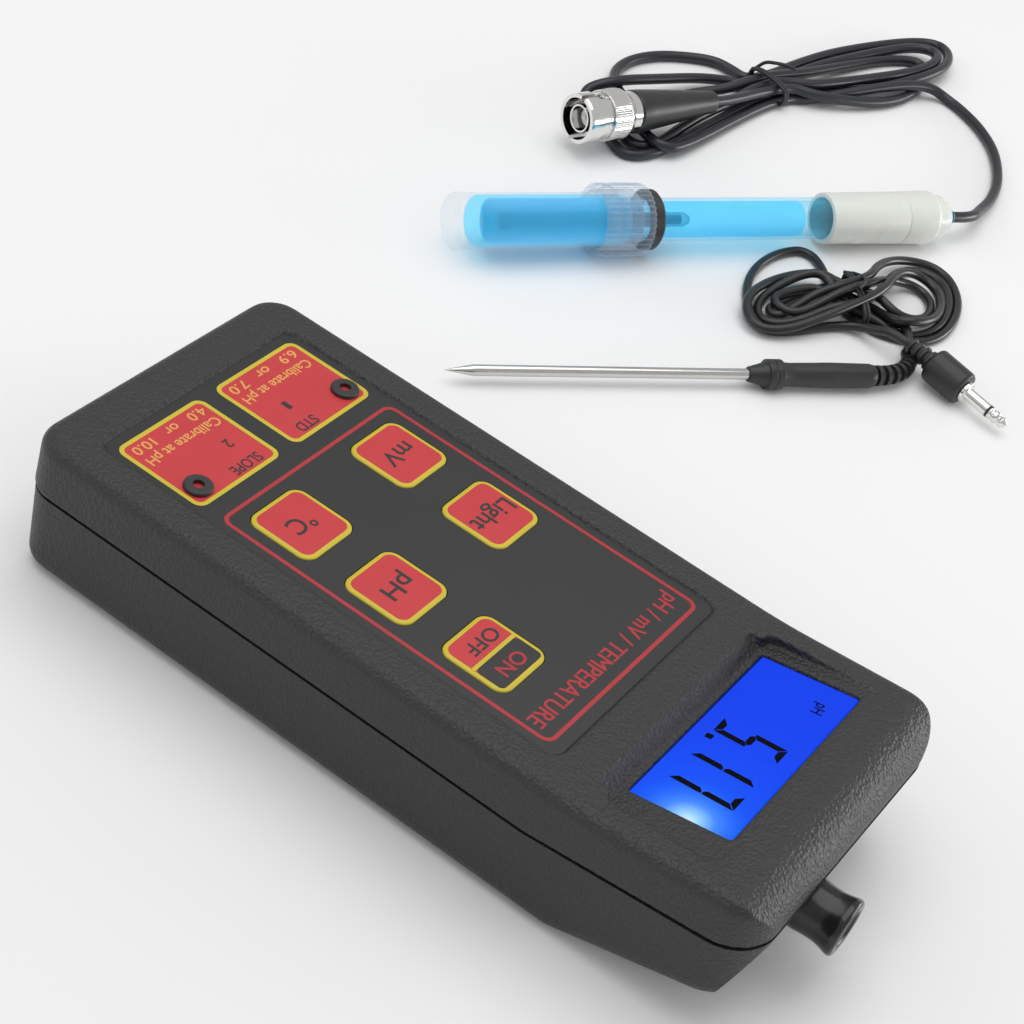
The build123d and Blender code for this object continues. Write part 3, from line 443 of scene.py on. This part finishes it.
ELECTRODE_CORD_POINTS = [
    (-265.4, -8.3, 7.6), (-271.7, -4.2, 7), (-282.2, -5.6, 4.2), (-295.8, -6.6, 2.2),
    (-310, -10.6, 1.6), (-323.6, -18.4, 1.6), (-332.2, -27.4, 1.6), (-337.4, -37, 1.6),
    (-339.4, -44, 1.6), (-336.9, -48.9, 3.8), (-328.6, -54, 5.2), (-316.3, -60.6, 4.4),
    (-303, -67.6, 2.8), (-293.7, -72.9, 1.6), (-290, -76.4, 1.6), (-277.6, -79.1, 1.9),
    (-259.4, -80.5, 2.1), (-242.7, -81.2, 2.5), (-229.5, -82.3, 3.3), (-226.3, -84.3, 3.9),
    (-225, -86.9, 4.2), (-226.4, -90.4, 3.8), (-229.4, -94.8, 2.9), (-234.9, -103.5, 4.9),
    (-241.1, -111.1, 3.7), (-247.5, -116.1, 2.5), (-254.6, -119, 1.8), (-263.7, -119.1, 1.6),
    (-273, -115.8, 1.6), (-280.9, -110, 1.6), (-287.4, -102.8, 1.8), (-287.3, -96.1, 2),
    (-286.3, -90.6, 2.1), (-295.2, -87.2, 2), (-311.7, -85.1, 1.9), (-327.6, -81.9, 1.7),
    (-341.1, -77.4, 1.6), (-353.6, -72.4, 1.6), (-363.2, -67.3, 1.8), (-368.1, -62, 2.2),
    (-365.4, -56.4, 3.1), (-355.4, -52, 4.3), (-343.1, -51.9, 5), (-331.4, -55.8, 4.1),
    (-320.9, -61.1, 2.6), (-308.9, -67.6, 1.7), (-297.4, -74.6, 1.6), (-290.8, -79.8, 1.7),
    (-278.5, -82.4, 1.7), (-264, -83.3, 1.6), (-249.7, -84.1, 1.6), (-235.6, -84.7, 1.6),
    (-224.8, -85.9, 1.6), (-218.1, -88.4, 1.6), (-215.2, -91.6, 1.6), (-216.5, -95.7, 1.6),
    (-220.8, -102.1, 1.7), (-225.2, -109.9, 2), (-228.5, -114.9, 3), (-230.9, -115.7, 4.6),
    (-234.2, -113.6, 6.4), (-241.6, -110.2, 7), (-254.5, -105.3, 5.4), (-270.8, -99.1, 3.5),
    (-281.5, -92, 2.2), (-280.7, -86.1, 1.6), (-291.8, -83.3, 1.6), (-308, -82.4, 1.8),
    (-322.7, -78.3, 2.2), (-338.5, -73.1, 2.6), (-352, -67.7, 3.1), (-358.8, -62.2, 3.7),
    (-358, -57.1, 4.3), (-350.6, -54.8, 4.8), (-339.6, -56.3, 4.8), (-326.8, -61.2, 4.8),
    (-311.4, -67.8, 4.8), (-297.5, -74.3, 4.8), (-290.9, -81.4, 4.8), (-279, -84.5, 4.8),
    (-266.2, -84.8, 4.3), (-253.9, -87.5, 3.1), (-241.2, -88.2, 2.2), (-230.6, -88, 1.6),
    (-222.6, -90.5, 1.5), (-222.3, -96.4, 1.8), (-230.1, -102.1, 1.5), (-243.3, -102.8, 1.6),
    (-259.8, -97.2, 2.4), (-272.8, -89.8, 3.9), (-280.2, -87.6, 5.1), (-291.9, -84.4, 5),
    (-305.1, -79, 4), (-323.1, -74.6, 2.6), (-338.9, -69.8, 1.8), (-347.1, -65.3, 1.7),
    (-351.5, -61.1, 1.6), (-350.5, -57.4, 1.6), (-345.6, -53.9, 1.6), (-334.2, -52.5, 1.6),
    (-325.4, -53.1, 1.6), (-317.5, -55.1, 2), (-309.8, -58.8, 2.6), (-301.9, -64.1, 3.5),
    (-294.2, -70.3, 4.6), (-290.4, -77.4, 5), (-277.7, -81.2, 5.5), (-256.9, -83.5, 8.6),
    (-250.4, -86, 9.4),
]
PROBE_CORD_POINTS = [
    (-194.2, 15.2, 3.2), (-200.4, 12.1, 2.2), (-207.2, 7.8, 3.9), (-209.3, 5.4, 3.5),
    (-208.8, 2.6, 2.1), (-207.7, -0.1, 1), (-206.9, -3.5, 1.5), (-204.3, -13.8, 4.4),
    (-207.3, -20.6, 6), (-203, -24.5, 5.1), (-195.8, -27, 3.4), (-188.3, -28.2, 2), (-182, -26.7, 1.3),
    (-179.1, -22.9, 1.2), (-180.9, -18.3, 2), (-187.3, -14.5, 3.3), (-194.9, -11.8, 4.9),
    (-199.1, -8.8, 6.2), (-211.7, -5.6, 3.8), (-228.9, -8.9, 1.6), (-238.3, -7.3, 1.2),
    (-242.2, -2.1, 1.3), (-240.9, 3.9, 1.4), (-234.6, 8.8, 1.4), (-225.7, 11.8, 1.4),
    (-216.8, 12, 1.4), (-209.8, 9.1, 1.2), (-206.3, 4.4, 1.4), (-205.2, -1.3, 2.7),
    (-202.1, -12.3, 3.8), (-202.1, -18.5, 4.4), (-197.2, -21.8, 4.3), (-190.5, -24.7, 3.9),
    (-187, -24.7, 3.6), (-185.6, -21.9, 3.4), (-186.1, -18.6, 3.4), (-189.3, -16.3, 3.7),
    (-196.2, -14.1, 5.4), (-201.9, -12, 7.5), (-212.2, -7.9, 8.3), (-218.3, -7.6, 6.3),
    (-225.3, -6.3, 3.9), (-230.8, -2.8, 2.3), (-232, 1.5, 1.4), (-228.5, 5.8, 1.3), (-222, 7.9, 1.8),
    (-215.5, 7.1, 2.9), (-210.8, 4.1, 4.3), (-209.5, 0.2, 5.6), (-211.1, -5, 6.2),
    (-208.5, -15.8, 4.9), (-210.1, -21.5, 4), (-205.1, -26.2, 3.2), (-198.1, -29.1, 3),
    (-190.2, -30.4, 3.4), (-182.6, -30.2, 3.8), (-176.9, -27.9, 3.4), (-173.4, -23.8, 2.9),
    (-174, -19.2, 2.8), (-179.6, -14.7, 3.5), (-187.3, -11.3, 5), (-197.3, -7.4, 7.1),
    (-210.8, -3.8, 8.4), (-224, -6.1, 7.1), (-232.3, -4.5, 4.9), (-235.6, 0, 3.1), (-234.1, 4.7, 2.4),
    (-228.4, 8.5, 2.7), (-220.5, 10.5, 4), (-212.6, 10.2, 5.7), (-207.2, 7.4, 6.6), (-206.4, 2.5, 4.7),
    (-210.9, -5.9, 1.9), (-207.4, -16.9, 3.2), (-203, -20, 2.6), (-197.1, -22.4, 1.8),
    (-193.7, -22.8, 1.8), (-184.6, -25, 1.3), (-183.4, -20.8, 1.8), (-190, -19.3, 3),
    (-198.2, -17.5, 5), (-203.5, -13.8, 7.6), (-214.9, -10, 7.7), (-226.5, -12.3, 5.3),
    (-235.9, -11.3, 3.3), (-242.9, -7.4, 2.1), (-246.7, -1.9, 1.4), (-244.7, 4.6, 1.2),
    (-237.2, 10.6, 1.2), (-227.2, 14, 1.3), (-217.4, 14.8, 1.3), (-210.2, 12.7, 1.3),
    (-205.7, 8.2, 1.2), (-203.5, 3.6, 1.3), (-202.3, 0.6, 1.3), (-202.7, -11.7, 1.1),
    (-218.5, -25.6, 1.3), (-219.5, -32.2, 1.4), (-213.6, -35.4, 1.4), (-205.8, -37, 1.4),
    (-197.1, -36.5, 1.3), (-189.4, -34, 1.3), (-182.7, -30.1, 1.2), (-177.2, -25.3, 1.3),
    (-175.7, -21, 1.3), (-178.3, -17.4, 1.2), (-183.9, -13.8, 1.2), (-191.5, -10, 1.4),
    (-197.2, -5.6, 1.9), (-198.3, -1.1, 3.4), (-198.1, 2.4, 4.9), (-198.6, 6.3, 6.4),
    (-197.3, 13.3, 6.5),
]


def cord_curve(name, points, diameter, body, material):
    curve = bpy.data.curves.new(name, "CURVE")
    curve.dimensions = "3D"
    curve.bevel_depth = diameter / 2 * MM
    curve.bevel_resolution = 6
    curve.resolution_u = 8
    curve.use_fill_caps = True
    spline = curve.splines.new("NURBS")
    spline.points.add(len(points) - 1)
    for slot, point in zip(spline.points, points):
        slot.co = (*(Vector(point) * MM), 1.0)
    spline.order_u = 3
    spline.use_endpoint_u = True
    return add_object(name, curve, body, [material])


ELECTRODE_CORD_MM = 3.2
PROBE_CORD_MM = 2.5


def make_cords(plug_pieces, jack_pieces):
    first = cord_curve("electrode_cord_run", ELECTRODE_CORD_POINTS, ELECTRODE_CORD_MM, "electrode", CORD)
    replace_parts(first, "electrode_cord", "electrode_cord_hank")
    second = cord_curve("probe_cord_run", PROBE_CORD_POINTS, PROBE_CORD_MM, "probe", PROBE_CORD)
    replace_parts(second, "probe_cord_hank")


def tube_along(name, points, radius, body, material):
    """A thin wire as a mesh, swept along a smooth line through the points."""
    curve = bpy.data.curves.new(name + "_line", "CURVE")
    curve.dimensions = "3D"
    curve.bevel_depth = radius * MM
    curve.bevel_resolution = 3
    curve.use_fill_caps = True
    spline = curve.splines.new("NURBS")
    spline.points.add(len(points) - 1)
    for slot, point in zip(spline.points, points):
        slot.co = (*(Vector(point) * MM), 1.0)
    spline.order_u = 3
    spline.use_endpoint_u = True
    holder = bpy.data.objects.new(name + "_line", curve)
    scene.collection.objects.link(holder)
    mesh = bpy.data.meshes.new_from_object(holder.evaluated_get(bpy.context.evaluated_depsgraph_get()))
    bpy.data.objects.remove(holder)
    bpy.data.curves.remove(curve)
    mesh.name = name
    mesh.materials.clear()
    for polygon in mesh.polygons:
        polygon.use_smooth = True
    return add_object(name, mesh, body, [material])


TIE_RADIUS = 0.55


def make_tie(name, node, centre, direction, width, height, body, tail):
    """Twist tie: two turns round the bundle, a short twist and a loose tail."""
    place = place_along(centre, direction)
    points = []
    turns, steps = 2, 16
    for step in range(turns * steps + 1):
        angle = 2 * math.pi * step / steps + 0.6
        shift = -1.1 + 2.2 * step / (turns * steps)
        y = width / 2 * math.copysign(abs(math.cos(angle)) ** 0.7, math.cos(angle))
        z = height / 2 * math.copysign(abs(math.sin(angle)) ** 0.7, math.sin(angle))
        points.append(place @ Vector((shift, y, z)))
    points += [place @ Vector(p) for p in tail]
    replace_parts(tube_along(name, points, TIE_RADIUS, body, TIE), node)


# ---- keypad --------------------------------------------------------------------------------------

LABEL_Z = 34.0
PAD_Z = LABEL_Z + 0.30
PAD_HALF = 8.25
PAD_CORNER = 3.0
INK = 0.03
FONT_CAPITAL = 0.70       # height of a capital letter in a font of size 1
FONT_BOLDNESS = 0.2       # outline growth for each unit of weight


def text_piece(name, text, x0, x1, base_y, cap, z, body, ink, weight=0.06, place=ROW):
    """Printed words: left end at x0, right end at x1, baseline at base_y, capitals cap high."""
    curve = bpy.data.curves.new(name + "_text", "FONT")
    curve.body = text
    curve.size = 1.0
    curve.extrude = 0.001
    curve.offset = FONT_BOLDNESS * weight
    holder = bpy.data.objects.new(name + "_text", curve)
    scene.collection.objects.link(holder)
    mesh = bpy.data.meshes.new_from_object(holder.evaluated_get(bpy.context.evaluated_depsgraph_get()))
    bpy.data.objects.remove(holder)
    bpy.data.curves.remove(curve)
    xs = [v.co.x for v in mesh.vertices]
    left, width = min(xs), max(xs) - min(xs)
    for vertex in mesh.vertices:
        x = x0 + (vertex.co.x - left) / width * (x1 - x0)
        y = base_y + vertex.co.y / FONT_CAPITAL * cap
        height = z + (INK if vertex.co.z > 0 else 0.0)
        vertex.co = (place @ Vector((x, y, height))) * MM
    mesh.name = name
    return add_object(name, mesh, body, [ink])


def key_pad(name, node, x, y, body, split=False):
    """Membrane key: a raised pad with a soft edge, a yellow border and a red face."""
    levels = [(0.0, LABEL_Z - 0.5, PAD_CORNER), (0.0, LABEL_Z + 0.02, PAD_CORNER),
              (0.25, LABEL_Z + 0.20, PAD_CORNER - 0.2), (0.6, LABEL_Z + 0.28, PAD_CORNER - 0.5),
              (1.0, PAD_Z, PAD_CORNER - 0.9)]
    verts, faces = [], []
    steps = 8
    count = 4 * (steps + 1)
    for inset, z, r in levels:
        half = PAD_HALF - inset
        for px, py in rounded_outline(x - half, x + half, y - half, y + half, r, steps):
            verts.append((px, py, z))
    for row in range(len(levels) - 1):
        for k in range(count):
            j = (k + 1) % count
            faces.append((row * count + k, row * count + j, (row + 1) * count + j, (row + 1) * count + k))
    faces.append(tuple(range(count))[::-1])
    top = (len(levels) - 1) * count
    faces.append(tuple(range(top, top + count)))
    pad = mesh_piece(name, verts, faces, body, [YELLOW, RED, LABEL], smooth=60)
    for polygon in pad.data.polygons:
        centre = polygon.center / MM
        flat = abs(polygon.normal.z) > 0.999 and centre.z > LABEL_Z + 0.29
        polygon.material_index = 1 if flat else 0
    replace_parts(pad, node)
    if split:
        extruded(name + "_dark_half", rounded_outline(x - 7.2, x + 7.2, y + 0.4, y + 7.2, 1.2),
                 PAD_Z, PAD_Z + INK, ROW, body, LABEL)
        extruded(name + "_divider", rounded_outline(x - 7.4, x + 7.4, y - 0.5, y + 0.4, 0.2),
                 PAD_Z, PAD_Z + INK * 1.5, ROW, body, YELLOW)


KEYS = {
    "millivolt": (-16.9, -35.8, "millivolt_key"),
    "temperature": (16.9, -35.8, "temperature_key"),
    "light": (-16.9, -11.45, "light_key"),
    "ph": (16.9, -11.45, "ph_key"),
    "on_off": (16.9, 12.9, "on_off_key"),
}


def key_legend(name, text, x0, x1, base_y, cap, ink=DARK_INK, lift=0.0):
    body = KEYS["on_off" if name in ("off", "on") else name][2]
    text_piece("legend_" + name, text, x0, x1, base_y, cap, PAD_Z + lift, body, ink)


def make_keys():
    for key, (x, y, body) in KEYS.items():
        key_pad("pad_" + key, "key_" + key, x, y, body, split=key == "on_off")
    key_legend("millivolt", "mV", -21.2, -12.4, -37.9, 4.2)
    key_legend("temperature", "°C", 14.0, 20.4, -38.0, 4.4)
    key_legend("light", "Light", -23.4, -10.7, -12.9, 4.2)
    key_legend("ph", "pH", 12.6, 20.6, -13.2, 4.2)
    key_legend("off", "OFF", 11.3, 20.8, 7.9, 3.3)
    key_legend("on", "ON", 12.6, 20.6, 15.5, 3.3, LINE_RED, lift=INK)


BOX_NEAR, BOX_FAR = -75.3, -52.1
BOX_TOP = LABEL_Z + INK * 0.8


def calibration_box(name, x0, x1):
    y0, y1 = BOX_NEAR, BOX_FAR
    ring_strip(f"label_{name}_border", rounded_outline(x0, x1, y0, y1, 2.4),
               rounded_outline(x0 + 1.0, x1 - 1.0, y0 + 1.0, y1 - 1.0, 1.5), LABEL_Z, INK, ROW,
               "meter", YELLOW)
    extruded(f"label_{name}_field", rounded_outline(x0 + 0.95, x1 - 0.95, y0 + 0.95, y1 - 0.95, 1.5),
             LABEL_Z, BOX_TOP, ROW, "meter", RED)


def box_words(name, text, x0, x1, base_y, cap, ink=DARK_INK):
    text_piece("label_" + name, text, x0, x1, base_y, cap, BOX_TOP, "meter", ink)


def make_label():
    """Frame line, title and the two calibration boxes with their words."""
    ring_strip("label_frame_line", rounded_outline(-29.0, 29.0, -47.75, 34.72, 2.6),
               rounded_outline(-28.1, 28.1, -46.85, 33.82, 1.8), LABEL_Z, INK, ROW, "meter", LINE_RED)
    for name, shift, rise in (("label_title", -0.09, 0.0), ("label_title_bold", 0.09, 0.004)):
        text_piece(name, "pH / mV / TEMPERATURE", -26.5 + shift, 26.8 + shift, 27.5, 3.9, LABEL_Z + rise,
                   "meter", LINE_RED, weight=0.0)
    calibration_box("first", -28.99, -1.79)
    calibration_box("second", 2.76, 29.45)
    box_words("step_one", "1", -11.2, -9.9, -62.9, 2.6)
    box_words("step_two", "2", 8.4, 10.2, -62.9, 2.6)
    box_words("offset", "STD", -12.4, -6.3, -56.4, 2.7)
    box_words("slope", "SLOPE", 6.8, 15.6, -56.4, 2.7)
    box_words("first_line", "Calibrate at pH", -26.4, -4.3, -69.2, 2.5, PALE_INK)
    box_words("first_values", "6.9   or   7.0", -26.4, -4.3, -73.2, 2.5, PALE_INK)
    box_words("second_line", "Calibrate at pH", 4.8, 27.0, -69.2, 2.5, PALE_INK)
    box_words("second_values", "4.0   or   10.0", 4.8, 27.0, -73.2, 2.5, PALE_INK)


# ---- display digits ------------------------------------------------------------------------------

LCD_INK = material("display_segment", (0.002, 0.002, 0.005), 0.6, bump=0.0, specular_ior_level=0.05)
DIGIT_TOP, DIGIT_MID, DIGIT_BASE = 7.4, -0.05, -7.5
DIGIT_WIDTH = 4.9
DIGIT_LEAN = 0.075
STROKE = 1.45
SEGMENT_GAP = 0.14
SEGMENTS = {"5": "afgcd", "1": "bc", "7": "abc"}


def digit_segments():
    """Outline of each segment of a display digit: slanted joints, like a real seven-segment figure."""
    w, t, half = DIGIT_WIDTH, STROKE, STROKE / 2
    top, mid, base, gap = DIGIT_TOP, DIGIT_MID, DIGIT_BASE, SEGMENT_GAP
    return {
        "a": [(gap, top), (w - gap, top), (w - t - gap, top - t), (t + gap, top - t)],
        "b": [(w, top - gap), (w, mid + gap), (w - half, mid + gap), (w - t, mid + half + gap),
              (w - t, top - t - gap)],
        "c": [(w, mid - gap), (w, base + gap), (w - t, base + t + gap), (w - t, mid - half - gap),
              (w - half, mid - gap)],
        "d": [(gap, base), (w - gap, base), (w - t - gap, base + t), (t + gap, base + t)],
        "f": [(0, top - gap), (0, mid + gap), (half, mid + gap), (t, mid + half + gap), (t, top - t - gap)],
        "g": [(half, mid), (t, mid + half), (w - t, mid + half), (w - half, mid), (w - t, mid - half),
              (t, mid - half)],
    }


def make_digit(name, figure, left):
    outlines = digit_segments()
    for key in SEGMENTS[figure]:
        outline = [(left + x + (y - DIGIT_BASE) * DIGIT_LEAN, y) for x, y in outlines[key]]
        extruded(f"{name}_{key}", outline, GLASS_TOP, GLASS_TOP + INK, DISPLAY, "meter", LCD_INK)


def make_display():
    make_digit("digit_units", "5", -4.3)
    make_digit("digit_tenths", "1", 4.8)
    make_digit("digit_hundredths", "7", 13.3)
    extruded("digit_point", rounded_outline(1.9, 3.4, -8.0, -6.4, 0.2), GLASS_TOP, GLASS_TOP + INK, DISPLAY,
             "meter", LCD_INK)
    text_piece("display_unit", "pH", -20.7, -17.2, 4.9, 2.6, GLASS_TOP, "meter", LCD_INK, weight=0.03,
               place=DISPLAY)


# ---- connectors, electrode, probe ----------------------------------------------------------------

def make_dust_cap():
    seat = Matrix.Translation((8.6, 84.6, 17.5)) @ Matrix.Rotation(math.radians(90), 4, "Z")
    profile = [(11.6, 0.0), (11.6, 5.4), (2.5, 5.4), (2.5, 6.0), (4.2, 6.0), (6.5, 5.72), (9.0, 5.72),
               (10.8, 6.1), (11.8, 6.4), (12.7, 6.4), (13.2, 5.8), (13.1, 4.4), (12.6, 4.0), (12.6, 0.0)]
    cap = lathe("dust_cap_skin", profile, seat, "dust_cap", CAP_RUBBER, radius=0.8)
    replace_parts(cap, "bnc_dust_cap")


NUT_RIBS = 36
NUT_RIB_DEPTH = 0.55
NUT_RIB_FLOOR = 9.2        # only the nut's outer wall is ribbed


def make_electrode():
    place = place_along((-171.5, -69.4, 10.0), (-0.8379, 0.5454, -0.0217))
    wall = [(-49.1, 0.0), (-49.1, 7.0), (-48.4, 7.7), (-46.0, 7.7), (-45.4, 7.5), (-7.0, 7.5), (-7.0, 8.2),
            (2.0, 8.2), (2.0, 6.95), (-42.0, 6.95), (-43.0, 6.0), (-43.0, 0.0)]
    bottle = lathe("bottle_wall", wall, place, "bottle", CLEAR, radius=0.5)
    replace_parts(bottle, "storage_bottle")
    pool = [(-42.8, 0.0), (-42.8, 5.8), (-41.9, 6.88), (1.5, 6.88), (1.5, 6.02), (-38.2, 6.02), (-38.2, 0.0)]
    lathe("bottle_liquid", pool, place, "bottle", LIQUID, radius=0.4)

    def ribs(x, r, angle):
        valley = 0.5 + 0.5 * math.cos(NUT_RIBS * angle)
        return r - NUT_RIB_DEPTH * valley if r >= NUT_RIB_FLOOR else r

    grip = [(-7.1, 8.3), (-7.1, 9.5), (-6.6, 9.98), (-3.4, 9.98), (-3.2, 9.3), (-2.6, 9.3), (-2.4, 9.98),
            (7.0, 9.98), (7.5, 9.5), (7.5, 6.3), (4.2, 6.3), (4.2, 8.3)]
    nut = lathe("bottle_nut_ribbed", grip, place, "bottle_ring", NUT_CLEAR, radius=0.12, closed=True,
                segments=288, ripple=ribs)
    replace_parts(nut, "bottle_nut")
    tube = lathe("electrode_body", [(-38.0, 5.0), (-38.0, 5.95), (70.0, 5.95), (70.0, 5.0)], place,
                 "electrode", TUBE, radius=0.3, closed=True)
    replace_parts(tube, "electrode_tube")
    filling = [(-31.0, 0.0), (-31.0, 4.4), (-30.4, 4.92), (57.5, 4.92), (58.5, 4.6), (58.5, 0.0)]
    lathe("electrode_gel", filling, place, "electrode", GEL, radius=0.4)
    stepped = [(66.6, 5.96), (66.6, 7.2), (92.2, 7.45), (92.35, 7.32), (92.55, 7.32), (92.7, 7.5),
               (102.4, 7.75), (103.5, 7.0), (103.5, 6.5), (106.7, 6.4), (106.7, 4.95), (108.9, 4.9),
               (108.9, 0.0)]
    cap = lathe("electrode_cap_body", stepped, place, "electrode", WHITE_CAP, radius=0.35)
    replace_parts(cap, "electrode_cap")
    sleeve = [(108.9, 0.0), (108.9, 2.3), (111.4, 2.2), (112.1, 1.9), (112.1, 0.0)]
    gland = lathe("electrode_gland_sleeve", sleeve, place, "electrode", GLASS, radius=0.3)
    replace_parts(gland, "electrode_gland")


KNURL_TEETH = 72
KNURL_DEPTH = 0.14


def make_bnc_plug():
    place = place_along((-203.1, -103.6, 11.4), (-0.9363, 0.3492, -0.04))

    def teeth(x, r, angle):
        """Fine knurl on the sleeve's outer wall, between its two end chamfers."""
        valley = 0.5 + 0.5 * math.cos(KNURL_TEETH * angle)
        return r - KNURL_DEPTH * valley if 8.9 < x < 15.1 and r > 7 else r

    band = [(8.6, 6.5), (8.6, 7.2), (9.0, 7.35), (15.0, 7.35), (15.4, 7.2), (15.4, 6.5)]
    knurl = lathe("plug_knurl", band, place, "plug_sleeve", CHROME, radius=0.2, closed=True, segments=432,
                  ripple=teeth)
    taper = [(20.05, 0.0), (20.05, 5.9), (20.6, 6.3), (24.0, 6.15), (34.0, 5.2), (48.0, 3.6), (52.0, 3.3),
             (52.6, 2.9), (52.6, 0.0)]
    boot = lathe("plug_boot_sleeve", taper, place, "electrode", HANDLE, radius=0.6)
    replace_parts(boot, "bnc_plug_boot")
    nodes = [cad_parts[n] for n in ("bnc_plug_core", "bnc_plug_contact", "bnc_plug_sleeve")]
    return [knurl, boot, *nodes]


NEEDLE_LENGTH = 83.2
BOOT_RIBS = 4


def make_probe():
    """Needle and handle: local X runs from the needle's point to the cord."""
    place = place_along((-85.8, -64.6, 4.05), (-0.7774, 0.6290, 0.0))
    x0 = NEEDLE_LENGTH
    point = [(0.0, 0.0), (0.8, 0.22), (2.4, 0.55), (7.5, 1.45), (x0 + 6, 1.45), (x0 + 6, 0.0)]
    needle = lathe("probe_needle_shaft", point, place, "probe", STEEL, radius=0.6)
    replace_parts(needle, "probe_needle")
    grip = [(x0, 1.46), (x0, 1.95), (x0 + 1.0, 2.2), (x0 + 5.0, 3.3), (x0 + 5.0, 4.0), (x0 + 6.9, 4.02),
            (x0 + 7.1, 3.8), (x0 + 7.3, 4.02), (x0 + 9.4, 4.0), (x0 + 9.4, 3.3), (x0 + 12.0, 3.1),
            (x0 + 24.0, 3.35), (x0 + 35.5, 3.2), (x0 + 37.2, 2.8), (x0 + 37.2, 0.0)]
    handle = lathe("probe_grip", grip, place, "probe", HANDLE, radius=0.45)
    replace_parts(handle, "probe_handle")


def make_jack_plug():
    """Plug of the probe's cord: local X runs from the cord to the tip."""
    place = place_along((-197.7, 11.3, 6.7), (0.18, 0.98, -0.08))
    ribs = []
    for step in range(BOOT_RIBS):
        x = 0.6 + 2.15 * step
        r = 1.95 + 0.24 * step
        ribs += [(x, r - 0.45), (x + 0.5, r - 0.45), (x + 0.6, r + 0.2), (x + 1.7, r + 0.3),
                 (x + 1.8, r - 0.35)]
    sleeve = [(0.0, 0.0), (0.0, 1.6), *ribs, (9.0, 3.0), (9.3, 4.5), (10.0, 4.9), (19.8, 4.9), (20.6, 4.4),
              (20.6, 0.0)]
    boot = lathe("jack_boot", sleeve, place, "probe", HANDLE, radius=0.35)
    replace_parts(boot, "probe_plug_boot")
    contact = [(20.65, 0.0), (20.65, 3.0), (21.9, 3.0), (21.9, 1.75), (29.2, 1.75), (29.2, 1.46),
               (29.9, 1.46), (29.9, 1.75), (30.4, 1.75), (30.6, 1.45), (31.2, 1.45), (31.4, 1.75),
               (32.3, 1.75), (33.0, 1.1), (34.2, 1.6), (35.6, 0.5), (35.6, 0.0)]
    shaft = lathe("jack_shaft", contact, place, "probe", CHROME, radius=0.25)
    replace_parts(shaft, "probe_plug_shaft")
    return [boot, shaft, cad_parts["probe_plug_ring"]]


FLOOR_HALF = 6.0


def make_floor():
    bm = bmesh.new()
    bmesh.ops.create_grid(bm, x_segments=2, y_segments=2, size=FLOOR_HALF)
    mesh = bpy.data.meshes.new("floor")
    bm.to_mesh(mesh)
    bm.free()
    floor = bpy.data.objects.new("floor", mesh)
    scene.collection.objects.link(floor)
    mesh.materials.append(material("floor_white", (0.90, 0.90, 0.90), 0.9, colour_shift=0.01, noise_mm=400.0,
                                   bump=0.0, specular_ior_level=0.1))


make_camera()
make_world()
make_floor()
make_light("overhead", (-0.15, -0.1, 1.1), (-0.12, 0.0, 0.0), (1.4, 1.0), 7.0)
make_light("display_end", (-0.75, 0.80, 0.11), (0.0, 0.08, 0.03), (0.9, 0.2), 5.0)
make_light("user_end", (0.7, -0.9, 0.6), (-0.05, 0.0, 0.02), (0.8, 0.6), 1.5)
make_keys()
make_label()
make_display()
make_dust_cap()
make_electrode()
make_probe()
make_cords(make_bnc_plug(), make_jack_plug())
make_tie("electrode_cord_twist_tie", "electrode_cord_tie", (-285.5, -82.6, 4.2), (-0.975, 0.222, 0), 15.6,
         7.4, "electrode", [(2.0, 5.2, 5.2), (3.2, 2.5, 6.2), (5.5, -0.5, 6.6), (7.5, -2.5, 6.0)])
make_tie("probe_cord_twist_tie", "probe_cord_tie", (-206.9, -9.3, 4.1), (-0.72, 0.69, 0), 20.0, 7.6, "probe",
         [(2.5, 3.5, 5.0), (1.5, 0.5, 5.8), (-1.5, -2.5, 5.4)])

scene.view_settings.view_transform = "Standard"
